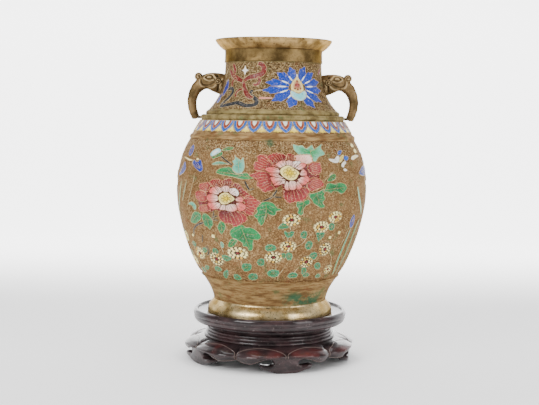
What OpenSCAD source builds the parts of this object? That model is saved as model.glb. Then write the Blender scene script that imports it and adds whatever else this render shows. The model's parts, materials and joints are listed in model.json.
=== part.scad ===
// Champleve vase with two beast-head handles, standing on a carved hardwood stand.
// Millimetres, +Z up, origin on the floor under the vase's axis. The front faces -Y.

/* [Vase] */
// Height of the vase alone, from the foot's underside to the lip
vase_h = 300.5; // [300.5]
// Wall of the castings
wall = 2.6; // [2.2:0.1:3.2]
// Number of lappets round the shoulder
lappet_n = 32; // [28:2:36]
// Relief of the lowest enamel above the ground
relief = 0.3; // [0.2:0.05:0.35]

/* [Handles] */
// Shank radius of the rivets that hold the heads to the neck
rivet_r = 2; // [1.5:0.1:2.4]
// Shank radius of the pins at the trunk tips
tip_pin_r = 1.4; // [1:0.1:1.6]

/* [Stand] */
// Height of the tray's floor, where the vase stands
seat_z = 52.5; // [52.5]
// Outer radius of the tray
tray_r = 85.4; // [84:0.1:87]
// Number of feet
foot_n = 5; // [5]
// Turn of the first foot from the front, in degrees
foot_turn = 12; // [0:1:72]
// Thickness of the keys that lock the skirt's mitres
key_t = 3; // [2:0.5:4]

/* [Hidden] */
$fn = 96;

bronze = [0.60, 0.46, 0.28];
brass = [0.70, 0.58, 0.34];
rosewood = [0.22, 0.09, 0.07];
blue = [0.05, 0.22, 0.62];
red = [0.62, 0.16, 0.14];
pink = [0.85, 0.50, 0.50];
cream = [0.95, 0.88, 0.62];
green = [0.16, 0.55, 0.36];
white = [0.92, 0.92, 0.90];
dark = [0.16, 0.18, 0.20];
turquoise = [0.50, 0.85, 0.85];

fit = 0.1;          // clearance round pins, dowels and keys
neck_z = 271;       // joint between the body and the neck casting
collar_z = 328;     // joint between the neck casting and the mouth ring
foot_z = 67;        // joint between the body and the foot ring
top_z = seat_z + vase_h;
spigot = 6;         // depth of the spigot joints

// ---- curves ----------------------------------------------------------------
function mix(a, b, t) = a + (b - a) * t;
function knot(p, i) = p[max(0, min(len(p) - 1, i))];
// A point of a Catmull-Rom curve through the knots p, in span i at t from 0 to 1.
function spline_at(p, i, t) =
    let (a = knot(p, i - 1), b = knot(p, i), c = knot(p, i + 1), d = knot(p, i + 2))
    0.5 * (2 * b + (c - a) * t + (2 * a - 5 * b + 4 * c - d) * t * t
        + (3 * b - a - 3 * c + d) * t * t * t);
function smooth(p, n) =
    concat([for (i = [0 : len(p) - 2], k = [0 : n - 1]) spline_at(p, i, k / n)], [p[len(p) - 1]]);
function flip(p) = [for (i = [len(p) - 1 : -1 : 0]) p[i]];
function shift_r(p, d) = [for (q = p) [q[0] + d, q[1]]];
function running(p, i = 0, sum = 0) =
    i >= len(p) ? []
    : let (s = sum + (i == 0 ? 0 : norm(p[i] - p[i - 1]))) concat([s], running(p, i + 1, s));

// Outer profiles as [radius, height].
belly = smooth([[75.6, 95.5], [81.3, 103], [89.4, 120], [97.2, 143], [103.3, 170], [104.8, 193],
    [103, 213], [97.4, 232], [91, 244.5]], 3);
shoulder = [[89.2, 249.6], [78.6, 265.6]];
base_band = smooth([[62.6, foot_z], [63.4, 71], [66.9, 80], [72.4, 89], [75.2, 93]], 2);
neck = smooth([[70.2, 276.8], [65.2, 283], [60.8, 290], [57.4, 297], [55.4, 304], [54, 312],
    [53.4, 320], [53, collar_z]], 2);
body_outer = concat(base_band, [[76.6, 93.6], [77, 94.6]], belly,
    [[91.6, 245.4], [91.4, 247.4], [90.4, 249]], shoulder,
    [[79.2, 266.6], [79.6, 268.8], [77.8, 270.7], [76.6, neck_z]]);
body_inner = concat([[58, foot_z], [59, 70]], smooth([[62.6, 80], [74.5, 98], [86.6, 120], [94.4, 143],
    [100.6, 170], [102.2, 193], [100.4, 213], [94.6, 232], [86, 246], [76, 259]], 2),
    [[70, 264], [70, neck_z]]);
neck_outer = concat([[73.6, neck_z], [74.2, 272.6], [73.6, 274.2], [72, 275.4]], neck);
skin = concat(belly, shoulder, [[73.6, 272]], neck);
skin_s = running(skin);
z_to_r = [for (q = skin) [q[1], q[0]]];
z_to_s = [for (i = [0 : len(skin) - 1]) [skin[i][1], skin_s[i]]];
s_to_z = [for (i = [0 : len(skin) - 1]) [skin_s[i], skin[i][1]]];

module turned(points) { rotate_extrude() polygon(points); }

// ---- enamel on the curved wall ---------------------------------------------
// The point u mm round and v mm up the wall from the angle a0 and height z0, raised by h.
function on_wall(u, v, a0, z0, h) =
    let (z = lookup(lookup(z0, z_to_s) + v, s_to_z), r = lookup(z, z_to_r),
        slope = (lookup(z + 1, z_to_r) - lookup(z - 1, z_to_r)) / 2,
        k = h / norm([1, slope]), a = a0 + u / r * 180 / PI, rr = r + k)
    [rr * sin(a), -rr * cos(a), z - k * slope];

// A thin plate with a star-shaped outline of [u, v] points, bent to the wall.
module plate(outline, a0, z0, low, high, rings = 1, turn = 0) {
    n = len(outline);
    // flat facets dip below the curve they span, so the plate is raised by that much
    facet = max([for (q = outline) norm(q)]) / rings;
    rise = facet * facet / 7 / lookup(z0, z_to_r);
    function spun(q) = [q[0] * cos(turn) - q[1] * sin(turn), q[0] * sin(turn) + q[1] * cos(turn)];
    function layer(h) = concat([on_wall(0, 0, a0, z0, h)],
        [for (k = [1 : rings], q = outline) let (w = spun(q * k / rings)) on_wall(w[0], w[1], a0, z0, h)]);
    m = 1 + rings * n;
    function at(side, k, j) = side * m + 1 + (k - 1) * n + j % n;
    faces = concat(
        [for (j = [0 : n - 1]) [0, at(0, 1, j), at(0, 1, j + 1)]],
        [for (j = [0 : n - 1]) [m, at(1, 1, j + 1), at(1, 1, j)]],
        rings < 2 ? [] : [for (k = [1 : rings - 1], j = [0 : n - 1])
            [at(0, k, j), at(0, k + 1, j), at(0, k + 1, j + 1)]],
        rings < 2 ? [] : [for (k = [1 : rings - 1], j = [0 : n - 1])
            [at(0, k, j), at(0, k + 1, j + 1), at(0, k, j + 1)]],
        rings < 2 ? [] : [for (k = [1 : rings - 1], j = [0 : n - 1])
            [at(1, k + 1, j + 1), at(1, k + 1, j), at(1, k, j)]],
        rings < 2 ? [] : [for (k = [1 : rings - 1], j = [0 : n - 1])
            [at(1, k, j + 1), at(1, k + 1, j + 1), at(1, k, j)]],
        [for (j = [0 : n - 1]) [at(0, rings, j), at(1, rings, j), at(0, rings, j + 1)]],
        [for (j = [0 : n - 1]) [at(0, rings, j + 1), at(1, rings, j), at(1, rings, j + 1)]]);
    polyhedron(concat(layer(low + rise), layer(high + rise)), faces);
}

// A ribbon of the width w along [angle, height] knots on the wall, tapered at both ends.
module ribbon(knots, w, low, high, n = 3) {
    p = smooth(knots, n);
    c = len(p);
    // straight steps dip below the curve they span, so the ribbon is raised by that much
    step = max([for (i = [1 : c - 1]) norm(xy(i) - xy(i - 1))]);
    rise = step * step / 640;
    function xy(i) = let (q = p[i]) [q[0] * lookup(q[1], z_to_r) * PI / 180, lookup(q[1], z_to_s)];
    function side(i) = let (d = xy(min(i + 1, c - 1)) - xy(max(i - 1, 0))) [-d[1], d[0]] / norm(d);
    function half(i) = w / 2 * (0.35 + 0.65 * sin(180 * (i + 0.5) / c));
    points = [for (i = [0 : c - 1], k = [0 : 3])
        let (q = side(i) * half(i) * (k < 2 ? 1 : -1)) on_wall(q[0], q[1], p[i][0], p[i][1],
            rise + (k == 0 || k == 3 ? low : high))];
    sides = [for (i = [0 : c - 2], k = [0 : 3]) let (a = 4 * i + k, b = 4 * i + (k + 1) % 4)
        each [[a, b + 4, b], [a, a + 4, b + 4]]];
    e = 4 * (c - 1);
    polyhedron(points, concat([[0, 1, 2, 3]], sides, [[e, e + 3, e + 2, e + 1]]));
}

// Outlines in mm about their own centre.
function lobed(rx, ry, lobes, depth, n) = [for (i = [0 : n - 1])
    let (a = 360 * i / n, k = 1 - depth * (1 - pow(abs(sin(lobes * a / 2)), 0.7)))
    [rx * k * cos(a), ry * k * sin(a)]];
function leaf(l, w, teeth, n) = [for (i = [0 : n - 1])
    let (a = 360 * i / n, k = 1 - 0.16 * (1 - abs(sin(teeth * a / 2))))
    [l / 2 * k * cos(a), w / 2 * k * sin(a) * (1 - 0.35 * cos(a))]];

// Levels above the ground, one for each layer of enamel, so that no two plates meet.
gap = 0.1;
pitch = 0.5;
function low(layer) = gap + layer * pitch;
function high(layer) = low(layer) + relief;
faces_of = [0, 180];   // the picture is repeated on the back

// Layouts: [angle, height, ...] on the front; sizes in mm.
peonies = [[-28, 182, 38, 22.5, 9], [9, 207, 37, 23, -6]];   // angle, height, rx, ry, turn
peony_hearts = [[-27, 184], [10, 211]];
leaves = [[-21, 209.5, 36, 10, -8], [-19.5, 219, 18, 12, 84], [-30, 235, 14, 4, 12],
    [24, 231.5, 30, 15, 20], [37, 207, 12, 7, 50], [40, 196.5, 30, 12, -4], [27, 185.5, 24, 14, -62],
    [17, 176, 20, 11, -78], [-2, 178, 26, 12, 8], [-6.5, 165, 18, 12, -75], [-55, 174, 13, 5, -20],
    [-52, 162.5, 20, 13, 35], [-41, 159.5, 21, 12, -60], [-31, 153.5, 14, 9, 80],
    [-16, 148, 38, 18, 4]];   // angle, height, length, width, turn
chrysanthemums = [[12, 164, 9.5, 6], [31, 155.5, 9.5, 6.5], [40.5, 166, 9, 7], [-22, 127, 12, 6.5],
    [-41, 118, 9, 7.5], [2, 123, 9, 6], [11, 135, 8.5, 5.5], [26, 117.5, 7.5, 6], [37, 131.5, 7, 6],
    [47.5, 108, 5, 4.5], [-57, 124, 8.5, 6], [-71, 112, 7, 6], [-73, 138, 7, 6]];
small_leaves = [[6.5, 157], [11, 149.5], [21, 148.5], [24, 138], [32, 147.5], [39, 156], [0, 134.5],
    [14, 125.5], [30, 126], [-7, 118.5], [2.5, 106], [-17, 114], [-12, 102], [-26, 101],
    [-36, 101.5], [-44, 106], [-31.5, 120], [-49.5, 129.5], [-63.5, 133], [-55, 107],
    [16, 103.5], [24.5, 106.5], [35, 112], [39.5, 102], [-33, 135.5], [-64, 104]];

// A plate with the wall's own curve: the outline is cut out of a thin turned shell.
module curved_plate(outline, a0, z0, low, high, turn = 0, reach = 40) {
    slope = (lookup(z0 + 3, z_to_r) - lookup(z0 - 3, z_to_r)) / 6;
    band = [for (q = skin) if (abs(q[1] - z0) < reach) q];
    rotate([0, 0, a0]) intersection() {
        turned(concat(shift_r(band, low), shift_r(flip(band), high)));
        translate([0, -lookup(z0, z_to_r), z0]) rotate([90 + atan(slope), 0, 0])
            rotate([0, 0, turn]) translate([0, 0, -30]) linear_extrude(60) polygon(outline);
    }
}

module lappets(outline, layer, turn_by = 0, colour = blue) {
    middle_z = 258.4;
    middle_r = lookup(middle_z, z_to_r);
    tilt = atan2(shoulder[0][0] - shoulder[1][0], shoulder[1][1] - shoulder[0][1]);
    color(colour) for (i = [0 : lappet_n - 1])
        rotate([0, 0, -2 + turn_by + 360 * i / lappet_n])
            translate([0, -middle_r, middle_z]) rotate([90 - tilt, 0, 0])
                translate([0, 0, low(layer)]) linear_extrude(relief) polygon(outline);
}
function ogive(w, top, tip) = [[-w / 2, top], [-w / 2, top * 0.2], [-w * 0.42, tip * 0.35],
    [-w * 0.25, tip * 0.75], [0, tip], [w * 0.25, tip * 0.75], [w * 0.42, tip * 0.35],
    [w / 2, top * 0.2], [w / 2, top]];

module peony_part(share, lobes, depth, n, level, colour) {
    color(colour) for (f = faces_of, i = [0, 1]) {
        p = peonies[i];
        c = share == 1 ? p : peony_hearts[i];
        curved_plate(lobed(p[2] * share, p[3] * share, lobes, depth, n), c[0] + f, c[1],
            level, level + relief, p[4]);
    }
}

// ---- vase ------------------------------------------------------------------
module vase_body() {
    color(bronze) difference() {
        turned(concat(body_outer, flip(body_inner)));
        for (side = [-1, 1]) translate([side * 79, 0, 267.6]) rotate([0, side * 90, 0])
            cylinder(r = tip_pin_r + fit, h = 12, center = true);
    }
}
module neck_casting() {
    color(bronze) difference() {
        turned(concat(neck_outer, [[51.6, collar_z], [51.6, collar_z + spigot], [50.2, collar_z + spigot]],
            shift_r(flip(neck), -wall - 0.3),
            [[67.5, neck_z], [67.5, neck_z - spigot], [69.8, neck_z - spigot], [69.8, neck_z]]));
        for (side = [-1, 1]) translate([side * 54, 0, 304.5]) rotate([0, side * 90, 0])
            cylinder(r = rivet_r + fit, h = 12, center = true);
    }
}
module mouth_ring() {
    color(brass) turned(concat([[53.7, collar_z], [54, collar_z + 0.8], [53.8, 341.3], [55.6, 342.2]],
        smooth([[58.6, 344.6], [61.8, 347.8], [64.1, 351.3]], 2),
        [[64.4, 352.3], [64, top_z], [62.4, top_z], [61.4, 352], [55, 345.2], [51.8, 341.6],
        [50.4, 338], [50.4, 334.2], [51.7, 334.2], [51.7, collar_z]]));
}
module foot_ring() {
    color(brass) turned(concat(smooth([[62.4, foot_z], [63.6, 65], [66.3, 61.8], [68.6, 58.2], [69.4, 55]], 2),
        [[69.4, seat_z], [64.8, seat_z], [64.4, 55], [60, 60], [60, foot_z]]));
}
module base_plate() {
    color(brass) translate([0, 0, foot_z - 2]) cylinder(r = 59.9, h = 2);
}

// Handle path as [x, z, half height, half width]: head, brow, trunk and its tip.
handle_knots = [[48, 302.5, 12.2, 8.2], [56, 304.2, 11.8, 8.6], [64, 306.4, 10.9, 8.8],
    [72, 306.8, 9.2, 8.2], [80, 303.6, 7.4, 7], [86.6, 296.4, 6, 6.2], [89.7, 286.5, 5.3, 5.8],
    [89.1, 277, 4.9, 5.2], [86.8, 270.4, 4.6, 4.8], [84.4, 266, 4.3, 4.4], [82.4, 262.6, 3.4, 3.6]];
handle_low_z = 265.2;   // the trunk ends just above the lappets
module handle_form() {
    p = smooth(handle_knots, 2);
    c = len(p);
    n = 14;
    function way(i) = let (a = p[min(i + 1, c - 1)], b = p[max(i - 1, 0)],
        d = [a[0] - b[0], a[1] - b[1]]) d / norm(d);
    points = [for (i = [0 : c - 1], k = [0 : n - 1])
        let (d = way(i), a = 360 * k / n, h = p[i][2] * cos(a), w = p[i][3] * sin(a))
        [p[i][0] - d[1] * h, w, p[i][1] + d[0] * h]];
    sides = [for (i = [0 : c - 2], k = [0 : n - 1])
        let (a = n * i + k, b = n * i + (k + 1) % n) each [[a, b, b + n], [a, b + n, a + n]]];
    polyhedron(points, concat([[for (k = [n - 1 : -1 : 0]) k]], sides,
        [[for (k = [0 : n - 1]) n * (c - 1) + k]]));
}
module handle(side) {
    color(bronze) scale([side, 1, 1]) difference() {
        union() {
            handle_form();
            // rolled curl on the snout
            translate([82.6, 4.4, 312.2]) rotate([90, 0, 0]) cylinder(r = 5.2, h = 8.8);
            // round ears, one on each cheek
            translate([62.5, 9.6, 306]) rotate([90, 0, 0]) cylinder(r = 4.4, h = 19.2);
        }
        turned(concat([[0, neck_z]], shift_r(neck_outer, 0.2), [[0, collar_z]]));
        turned(concat([[0, 250]], shift_r([for (q = body_outer) if (q[1] > 250) q], 0.25), [[0, neck_z]]));
        translate([60, -10, 240]) cube([40, 20, handle_low_z - 240]);
        translate([60, 0, 304.5]) rotate([0, 90, 0]) cylinder(r = rivet_r + 0.15, h = 16, center = true, $fn = 32);
        translate([80, 0, 267.6]) rotate([0, 90, 0]) cylinder(r = tip_pin_r + 0.15, h = 7, center = true, $fn = 24);
    }
}
module handle_rivets() {
    color(brass) for (side = [-1, 1]) translate([side * 51.3, 0, 304.5]) rotate([0, side * 90, 0]) {
        cylinder(r = rivet_r, h = 16.2);
        translate([0, 0, -1.2]) cylinder(r1 = 2.6, r2 = 4, h = 1.2);
    }
}
module handle_tip_pins() {
    color(brass) for (side = [-1, 1]) translate([side * 74, 0, 267.6]) rotate([0, side * 90, 0])
        cylinder(r = tip_pin_r, h = 9);
}

// ---- stand -----------------------------------------------------------------
module tray_ring() {
    color(rosewood) turned([[62, 47], [66, 47], [66, seat_z], [79.6, seat_z], [80.4, 53], [81, 54.8],
        [82, 55.5], [83.4, 55.3], [84.8, 53.8], [tray_r, 51.4], [tray_r - 0.1, 49.4],
        [tray_r - 0.8, 48.6], [tray_r - 0.5, 47.4], [tray_r - 0.9, 45], [tray_r - 2.6, 42.7],
        [tray_r - 5.6, 41.4], [62, 41.4]]);
}
module tray_panel() {
    color(rosewood) translate([0, 0, 47]) cylinder(r = 65.9, h = seat_z - 47);
}
module waist_ring() {
    color(rosewood) difference() {
        turned([[56, 25.5], [72.6, 25.5], [73, 27], [72.4, 28.4], [71, 28.9], [71.6, 30.2], [71.2, 31.6],
            [69.8, 32.2], [70.2, 33.4], [69.6, 34.6], [68, 35.2], [67, 37.4], [67.6, 39.6], [70, 41.4],
            [56, 41.4]]);
        dowel_row(fit, 0.4);
    }
}
module dowel_row(grow, extra) {
    for (i = [0 : foot_n - 1]) rotate([0, 0, foot_turn + 36 + 72 * i]) translate([0, -62, 19.5 - extra])
        cylinder(r = 2.5 + grow, h = 12 + 2 * extra);
}
module waist_dowels() {
    color([0.55, 0.38, 0.22]) dowel_row(0, 0);
}

// The skirt is a ring of two petals to a foot. t runs from 0 at a foot to 1 at the next.
skirt_steps = 20;
function swell(t) = let (k = t * 2 - floor(t * 2)) pow(abs(sin(180 * (t >= 1 ? 0 : k))), 0.55);
function to_foot(t) = pow(abs(cos(180 * t)), 1.5);   // 1 at a foot, 0 at the valley between
function lifted(t) = let (d = min(max((0.355 - min(t, 1 - t)) / 0.18, 0), 1)) d * d * (3 - 2 * d);
function skirt_profile(t) =
    let (s = swell(t), f = to_foot(t), u = lifted(t), edge = mix(mix(86, 91, f), 95.4, s),
        drop = mix(mix(3.2, 2, u), 1.2, s), low_z = mix(mix(12, 9, s), 15.2, u))
    [[58, 13], [58, 25.5], [70.7, 25.5], [77, 25.2 - drop * 0.4], [edge - 8, 24.4 - drop],
        [edge - 2.6, 21.6 - drop], [edge - 0.3, mix(18.4 - drop * 0.6, 18.6, u)], [edge, mix(15.4, 17.2, u)],
        [edge - 1.4, mix(min(low_z + 2, 12.8), 15.8, u)], [edge - 5, low_z],
        [edge - 8.5, mix(low_z + 0.6, 14, u)], [76, 12.6], [68, 13]];
module skirt_body() {
    n = len(skirt_profile(0));
    // the blank runs a little past both mitres
    function sector_at(i) = 360 / foot_n * i / skirt_steps + (i == 0 ? -0.5 : i == skirt_steps ? 0.5 : 0);
    points = [for (i = [0 : skirt_steps], q = skirt_profile(i / skirt_steps))
        let (a = sector_at(i)) [q[0] * sin(a), -q[0] * cos(a), q[1]]];
    sides = [for (i = [0 : skirt_steps - 1], k = [0 : n - 1])
        let (a = n * i + k, b = n * i + (k + 1) % n) each [[a, b + n, b], [a, a + n, b + n]]];
    // each mitre face is fanned from a point inside it
    m = n * (skirt_steps + 1);
    hub = [67, 19];
    hubs = [for (a = [sector_at(0), sector_at(skirt_steps)]) [hub[0] * sin(a), -hub[0] * cos(a), hub[1]]];
    ends = [for (k = [0 : n - 1]) let (j = (k + 1) % n, e = n * skirt_steps)
        each [[m, k, j], [m + 1, e + j, e + k]]];
    polyhedron(concat(points, hubs), concat(sides, ends));
}
// Half of a cloud foot in the plane of the skirt's edge: neck, toe that curls up, flat sole.
module half_foot() {
    translate([0, -79.5, 0]) rotate([90, 0, 0]) linear_extrude(10.5)
        polygon(concat([[-1, 0]],
            smooth([[9.5, 0], [14, 1.2], [19.5, 3.4], [25, 5], [27.8, 7.2]], 3),
            [[28, 8.6]],
            smooth([[26.6, 9.4], [21, 8.4], [16, 8.3], [13.2, 9.8], [13.3, 12.4], [17, 15]], 3),
            [[17, 17.1], [-1, 17.1]]));
}
module skirt_segment(i) {
    sector = 360 / foot_n;
    color(rosewood) rotate([0, 0, foot_turn + sector * i]) difference() {
        union() {
            skirt_body();
            half_foot();
            rotate([0, 0, sector]) mirror([1, 0, 0]) half_foot();
        }
        // the mitre faces are cut clean, a hair short so that neighbours only meet
        rotate([0, 0, 0]) translate([-40, -120, -1]) cube([40.02, 80, 40]);
        rotate([0, 0, sector]) translate([-0.02, -120, -1]) cube([40, 80, 40]);
        for (end = [0, sector]) rotate([0, 0, end]) mitre_key(fit);
        dowel_hole();
    }
}
module dowel_hole() {
    rotate([0, 0, 36]) translate([0, -62, 19.2]) cylinder(r = 2.5 + fit + 0.05, h = 8, $fn = 24);
}
module mitre_key(grow) {
    translate([-6 - grow, -84 - grow, 17 - key_t / 2 - grow])
        cube([12 + 2 * grow, 12 + 2 * grow, key_t + 2 * grow]);
}
module mitre_keys() {
    color([0.40, 0.25, 0.15]) for (i = [0 : foot_n - 1]) rotate([0, 0, foot_turn + 72 * i]) mitre_key(0);
}

// ---- enamel nodes ----------------------------------------------------------
module peony_leaves() {
    color(green) for (f = faces_of, q = leaves)
        plate(leaf(q[2], q[3], 6, 12), q[0] + f, q[1], low(1), high(1), 2, q[4]);
}
module branches() {
    color(dark) for (f = faces_of, b = [[[-16, 205], [-14, 199], [-12, 193]], [[3, 194], [0, 188], [-6, 182]],
        [[-45, 158], [-52, 153], [-57, 148], [-58, 140], [-52, 131], [-47, 126]],
        [[-33, 228], [-28, 222], [-22, 218]], [[6, 101], [9, 112], [12, 120]],
        [[-20, 120], [-19, 110]], [[18, 141], [24, 145], [29, 151]]])
        ribbon([for (k = b) [k[0] + f, k[1]]], 1.8, low(0), high(0), 4);
}
module chrysanthemum_heads() {
    color(cream) for (f = faces_of, q = chrysanthemums)
        plate(lobed(q[2], q[3], 6, 0.08, 12), q[0] + f, q[1], low(2), high(2), 1);
}
module chrysanthemum_leaves() {
    color(green) for (f = faces_of, q = small_leaves)
        plate(lobed(6.4, 4.6, 5, 0.2, 10), q[0] + f, q[1], low(1), high(1), 1);
}
module flower_buds() {
    color(white) for (f = faces_of, q = [[-37, 231, 7, 4.2, 35], [65, 231, 5, 8, 0], [-38, 143.5, 3, 2, 0],
        [46, 150, 2.4, 2, 0]])
        plate(lobed(q[2], q[3], 4, 0.1, 12), q[0] + f, q[1], low(2), high(2), 1, q[4]);
}
module iris_petals() {
    color(blue) for (f = faces_of, q = [[-50.5, 216.5, 22, 11, -18], [-63, 232, 13, 7, 72],
        [-70, 213, 22, 10, 50], [76, 213, 20, 10, -50], [86, 220, 16, 9, 70], [59, 160, 16, 5, 84],
        [92, 206, 18, 9, -30]])
        plate(leaf(q[2], q[3], 2, 12), q[0] + f, q[1], low(2), high(2), 1, q[4]);
}
module iris_leaves() {
    color(green) for (f = faces_of, b = [[[60, 100], [60, 120], [63, 145], [66, 170], [70, 190]],
        [[68, 100], [72, 130], [80, 160], [90, 180]], [[90, 100], [88, 130], [82, 160], [78, 200]],
        [[100, 100], [98, 130], [93, 160], [88, 195]], [[56, 100], [53, 112], [57, 128], [59, 150]],
        [[-80, 100], [-78, 130], [-72, 160], [-66, 190]], [[-68, 150], [-62, 175], [-58, 198]]])
        ribbon([for (k = b) [k[0] + f, k[1]]], 4, low(0), high(0), 6);
}
module butterfly_wings() {
    color(white) for (f = faces_of, q = [[42, 224.5, 12, 6, 20], [48, 217, 12, 6, -60], [47.5, 233, 8, 6, 70],
        [51.5, 226.5, 8, 6, 15]])
        plate(leaf(q[2], q[3], 2, 10), q[0] + f, q[1], low(2), high(2), 1, q[4]);
}
module butterfly_bodies() {
    color(cream) for (f = faces_of)
        plate(leaf(9, 4, 2, 10), 46.5 + f, 226.5, low(3), high(3), 1, 40);
}

// The neck's pattern stands twice round, between the handles.
neck_turns = [0, 180];
module lotus_petals() {
    color(blue) for (t = neck_turns)
        curved_plate(lobed(22, 18, 15, 0.32, 60), 27 + t, 302, low(0), high(0), 0, 22);
}
module lotus_hearts() {
    color(pink) for (t = neck_turns)
        plate(lobed(7, 8, 2, 0.05, 14), 27 + t, 303, low(1), high(1), 1);
}
module lotus_cups() {
    color(turquoise) for (t = neck_turns)
        plate(lobed(8, 3, 2, 0.05, 12), 27 + t, 291, low(1), high(1), 1);
}
module scrolls_red() {
    color(red) for (t = neck_turns) {
        ribbon([for (k = [[-26, 286], [-33, 293], [-37, 302], [-34, 309], [-26, 311.5], [-17, 310], [-12, 314],
            [-11, 320], [-16, 323]]) [k[0] + t, k[1]]], 4, low(0), high(0), 2);
        ribbon([for (k = [[-58, 318], [-52, 313], [-45, 310], [-40, 305]]) [k[0] + t, k[1]]],
            4, low(0), high(0), 2);
    }
}
module scrolls_dark() {
    color(dark) for (t = neck_turns)
        ribbon([for (k = [[-56, 298], [-50, 293], [-53, 285], [-55, 280.5], [-40, 280.5], [-28, 280.5],
            [-17, 281.5], [-17, 287], [-22, 291], [-23, 296]]) [k[0] + t, k[1]]], 3, low(1), high(1), 2);
}
module neck_diamonds() {
    color(white) for (t = neck_turns)
        plate([[4, 0], [1.4, 1.4], [0, 4], [-1.4, 1.4], [-4, 0], [-1.4, -1.4], [0, -4], [1.4, -1.4]],
            -34 + t, 317.5, low(1), high(1), 1);
}

tray_ring();
tray_panel();
waist_ring();
skirt_segment(0);  // skirt_segment_1
skirt_segment(1);  // skirt_segment_2
skirt_segment(2);  // skirt_segment_3
skirt_segment(3);  // skirt_segment_4
skirt_segment(4);  // skirt_segment_5
mitre_keys();
waist_dowels();
foot_ring();
base_plate();
vase_body();
neck_casting();
mouth_ring();
handle(-1);  // handle_left
handle(1);  // handle_right
handle_rivets();
handle_tip_pins();
lappets(ogive(13.4, 6.4, -7), 0);  // lappets_blue
lappets(ogive(9, 6.4, -3.6), 1, 0, red);  // lappets_red
lappets(ogive(4.4, 6.4, 0.6), 2, 0, white);  // lappets_white
lappets([[-0.9, -1], [-2.6, -5.4], [0, -6.4], [2.6, -5.4], [0.9, -1]], 0, 180 / lappet_n, cream);  // lappets_cream
peony_part(1, 14, 0.1, 42, low(2), red);  // peony_outer_petals
peony_part(0.57, 12, 0.12, 36, high(2) + 0.06, pink);  // peony_inner_petals
peony_part(0.27, 6, 0.06, 18, high(2) + relief + 0.12, cream);  // peony_centres
peony_leaves();
branches();
chrysanthemum_heads();
chrysanthemum_leaves();
flower_buds();
iris_petals();
iris_leaves();
butterfly_wings();
butterfly_bodies();
lotus_petals();
lotus_hearts();
lotus_cups();
scrolls_red();
scrolls_dark();
neck_diamonds();
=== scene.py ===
"""Looks of an enamelled bronze vase with two beast-head handles on a carved hardwood stand.

Lengths inside the builders are millimetres; MM turns them into the frame's metres.
Places on the vase's wall are (turn, height): degrees round from the front, and millimetres up.
"""
import json
import math

import bpy
import numpy as np
from mathutils import Matrix, Vector


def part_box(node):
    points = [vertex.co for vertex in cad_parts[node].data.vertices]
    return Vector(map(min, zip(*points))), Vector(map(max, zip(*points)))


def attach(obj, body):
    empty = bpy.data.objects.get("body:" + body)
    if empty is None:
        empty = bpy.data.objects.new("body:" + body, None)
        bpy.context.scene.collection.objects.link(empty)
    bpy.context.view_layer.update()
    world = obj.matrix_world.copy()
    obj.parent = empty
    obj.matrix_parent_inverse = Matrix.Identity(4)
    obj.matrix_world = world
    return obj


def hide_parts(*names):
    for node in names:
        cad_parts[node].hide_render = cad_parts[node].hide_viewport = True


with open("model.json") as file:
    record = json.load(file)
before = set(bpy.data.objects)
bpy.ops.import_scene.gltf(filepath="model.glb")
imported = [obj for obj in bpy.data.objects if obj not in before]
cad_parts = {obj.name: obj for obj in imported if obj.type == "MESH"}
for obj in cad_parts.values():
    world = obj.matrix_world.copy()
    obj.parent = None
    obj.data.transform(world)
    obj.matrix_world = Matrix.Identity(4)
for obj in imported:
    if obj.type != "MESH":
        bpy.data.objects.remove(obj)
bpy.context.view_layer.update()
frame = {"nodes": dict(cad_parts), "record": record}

MM = 0.001
rng = np.random.default_rng(11)


def heights(node):
    """Lowest and highest place of a node in the frame, in millimetres."""
    low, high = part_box(node)
    return round(low[2] / MM, 3), round(high[2] / MM, 3)


# where the castings and the turned pieces meet
SKIRT_TOP, WAIST_TOP = heights("waist_ring")
RIM_TOP = heights("tray_ring")[1]
PANEL_LOW, TRAY_FLOOR = heights("tray_panel")
BODY_LOW, BODY_TOP = heights("vase_body")
SOCKET_LOW, SPIGOT_TOP = heights("neck_casting")
NECK_TOP, MOUTH_TOP = heights("mouth_ring")
HANDLE_LOW = heights("handle_left")[0]


# ---- curves ------------------------------------------------------------------
def curve(knots, n, closed=False):
    """Catmull-Rom curve: every point is a cubic blend of the four nearest knots."""
    p = np.asarray(knots, float)
    c = len(p)
    spans = c if closed else c - 1
    i = np.repeat(np.arange(spans), n)
    t = np.tile(np.arange(n) / n, spans)[:, None]
    a, b, d, e = (p[(i + k) % c] if closed else p[np.clip(i + k, 0, c - 1)] for k in (-1, 0, 1, 2))
    q = 0.5 * (2 * b + (d - a) * t + (2 * a - 5 * b + 4 * d - e) * t ** 2 + (3 * b - a - 3 * d + e) * t ** 3)
    return q if closed else np.vstack([q, p[-1:]])


def join(*parts):
    """One list of points from several, in order."""
    return np.vstack([np.asarray(p, float) for p in parts])


def around(n):
    """n angles evenly round a full turn, in radians."""
    return np.linspace(0, 2 * np.pi, n, endpoint=False)


def smooth(t):
    """Eased step: 3 t squared less 2 t cubed."""
    return t * t * (3 - 2 * t)


def headings(uv, closed=False):
    """Unit directions along a flat path, and the same a quarter turn to the left, which point across it."""
    along = np.roll(uv, -1, 0) - np.roll(uv, 1, 0) if closed else np.gradient(uv, axis=0)
    along = along / np.maximum(np.hypot(*along.T), 1e-9)[:, None]
    return along, np.column_stack([-along[:, 1], along[:, 0]])


def turned(r, a, z):
    """Points at radius r, turned a radians round from the front, at height z."""
    return np.stack(np.broadcast_arrays(r * np.sin(a), -r * np.cos(a), z), -1)


DEPTH, RICHNESS = 0.78, 1.35


def rgb(r, g, b, depth=DEPTH, richness=RICHNESS):
    """Eight-bit display colour to linear light, darkened a little and moved away from its own grey."""
    c = (np.array([r, g, b]) / 255) ** 2.2
    grey = c @ (0.2126, 0.7152, 0.0722)
    return np.maximum((grey + (c - grey) * richness) * depth, 0.002)


def ore(r, g, b):
    """Metal and wood tones: the display colour a little darker and greyer."""
    return rgb(r, g, b, 0.9, 0.92)


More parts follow.
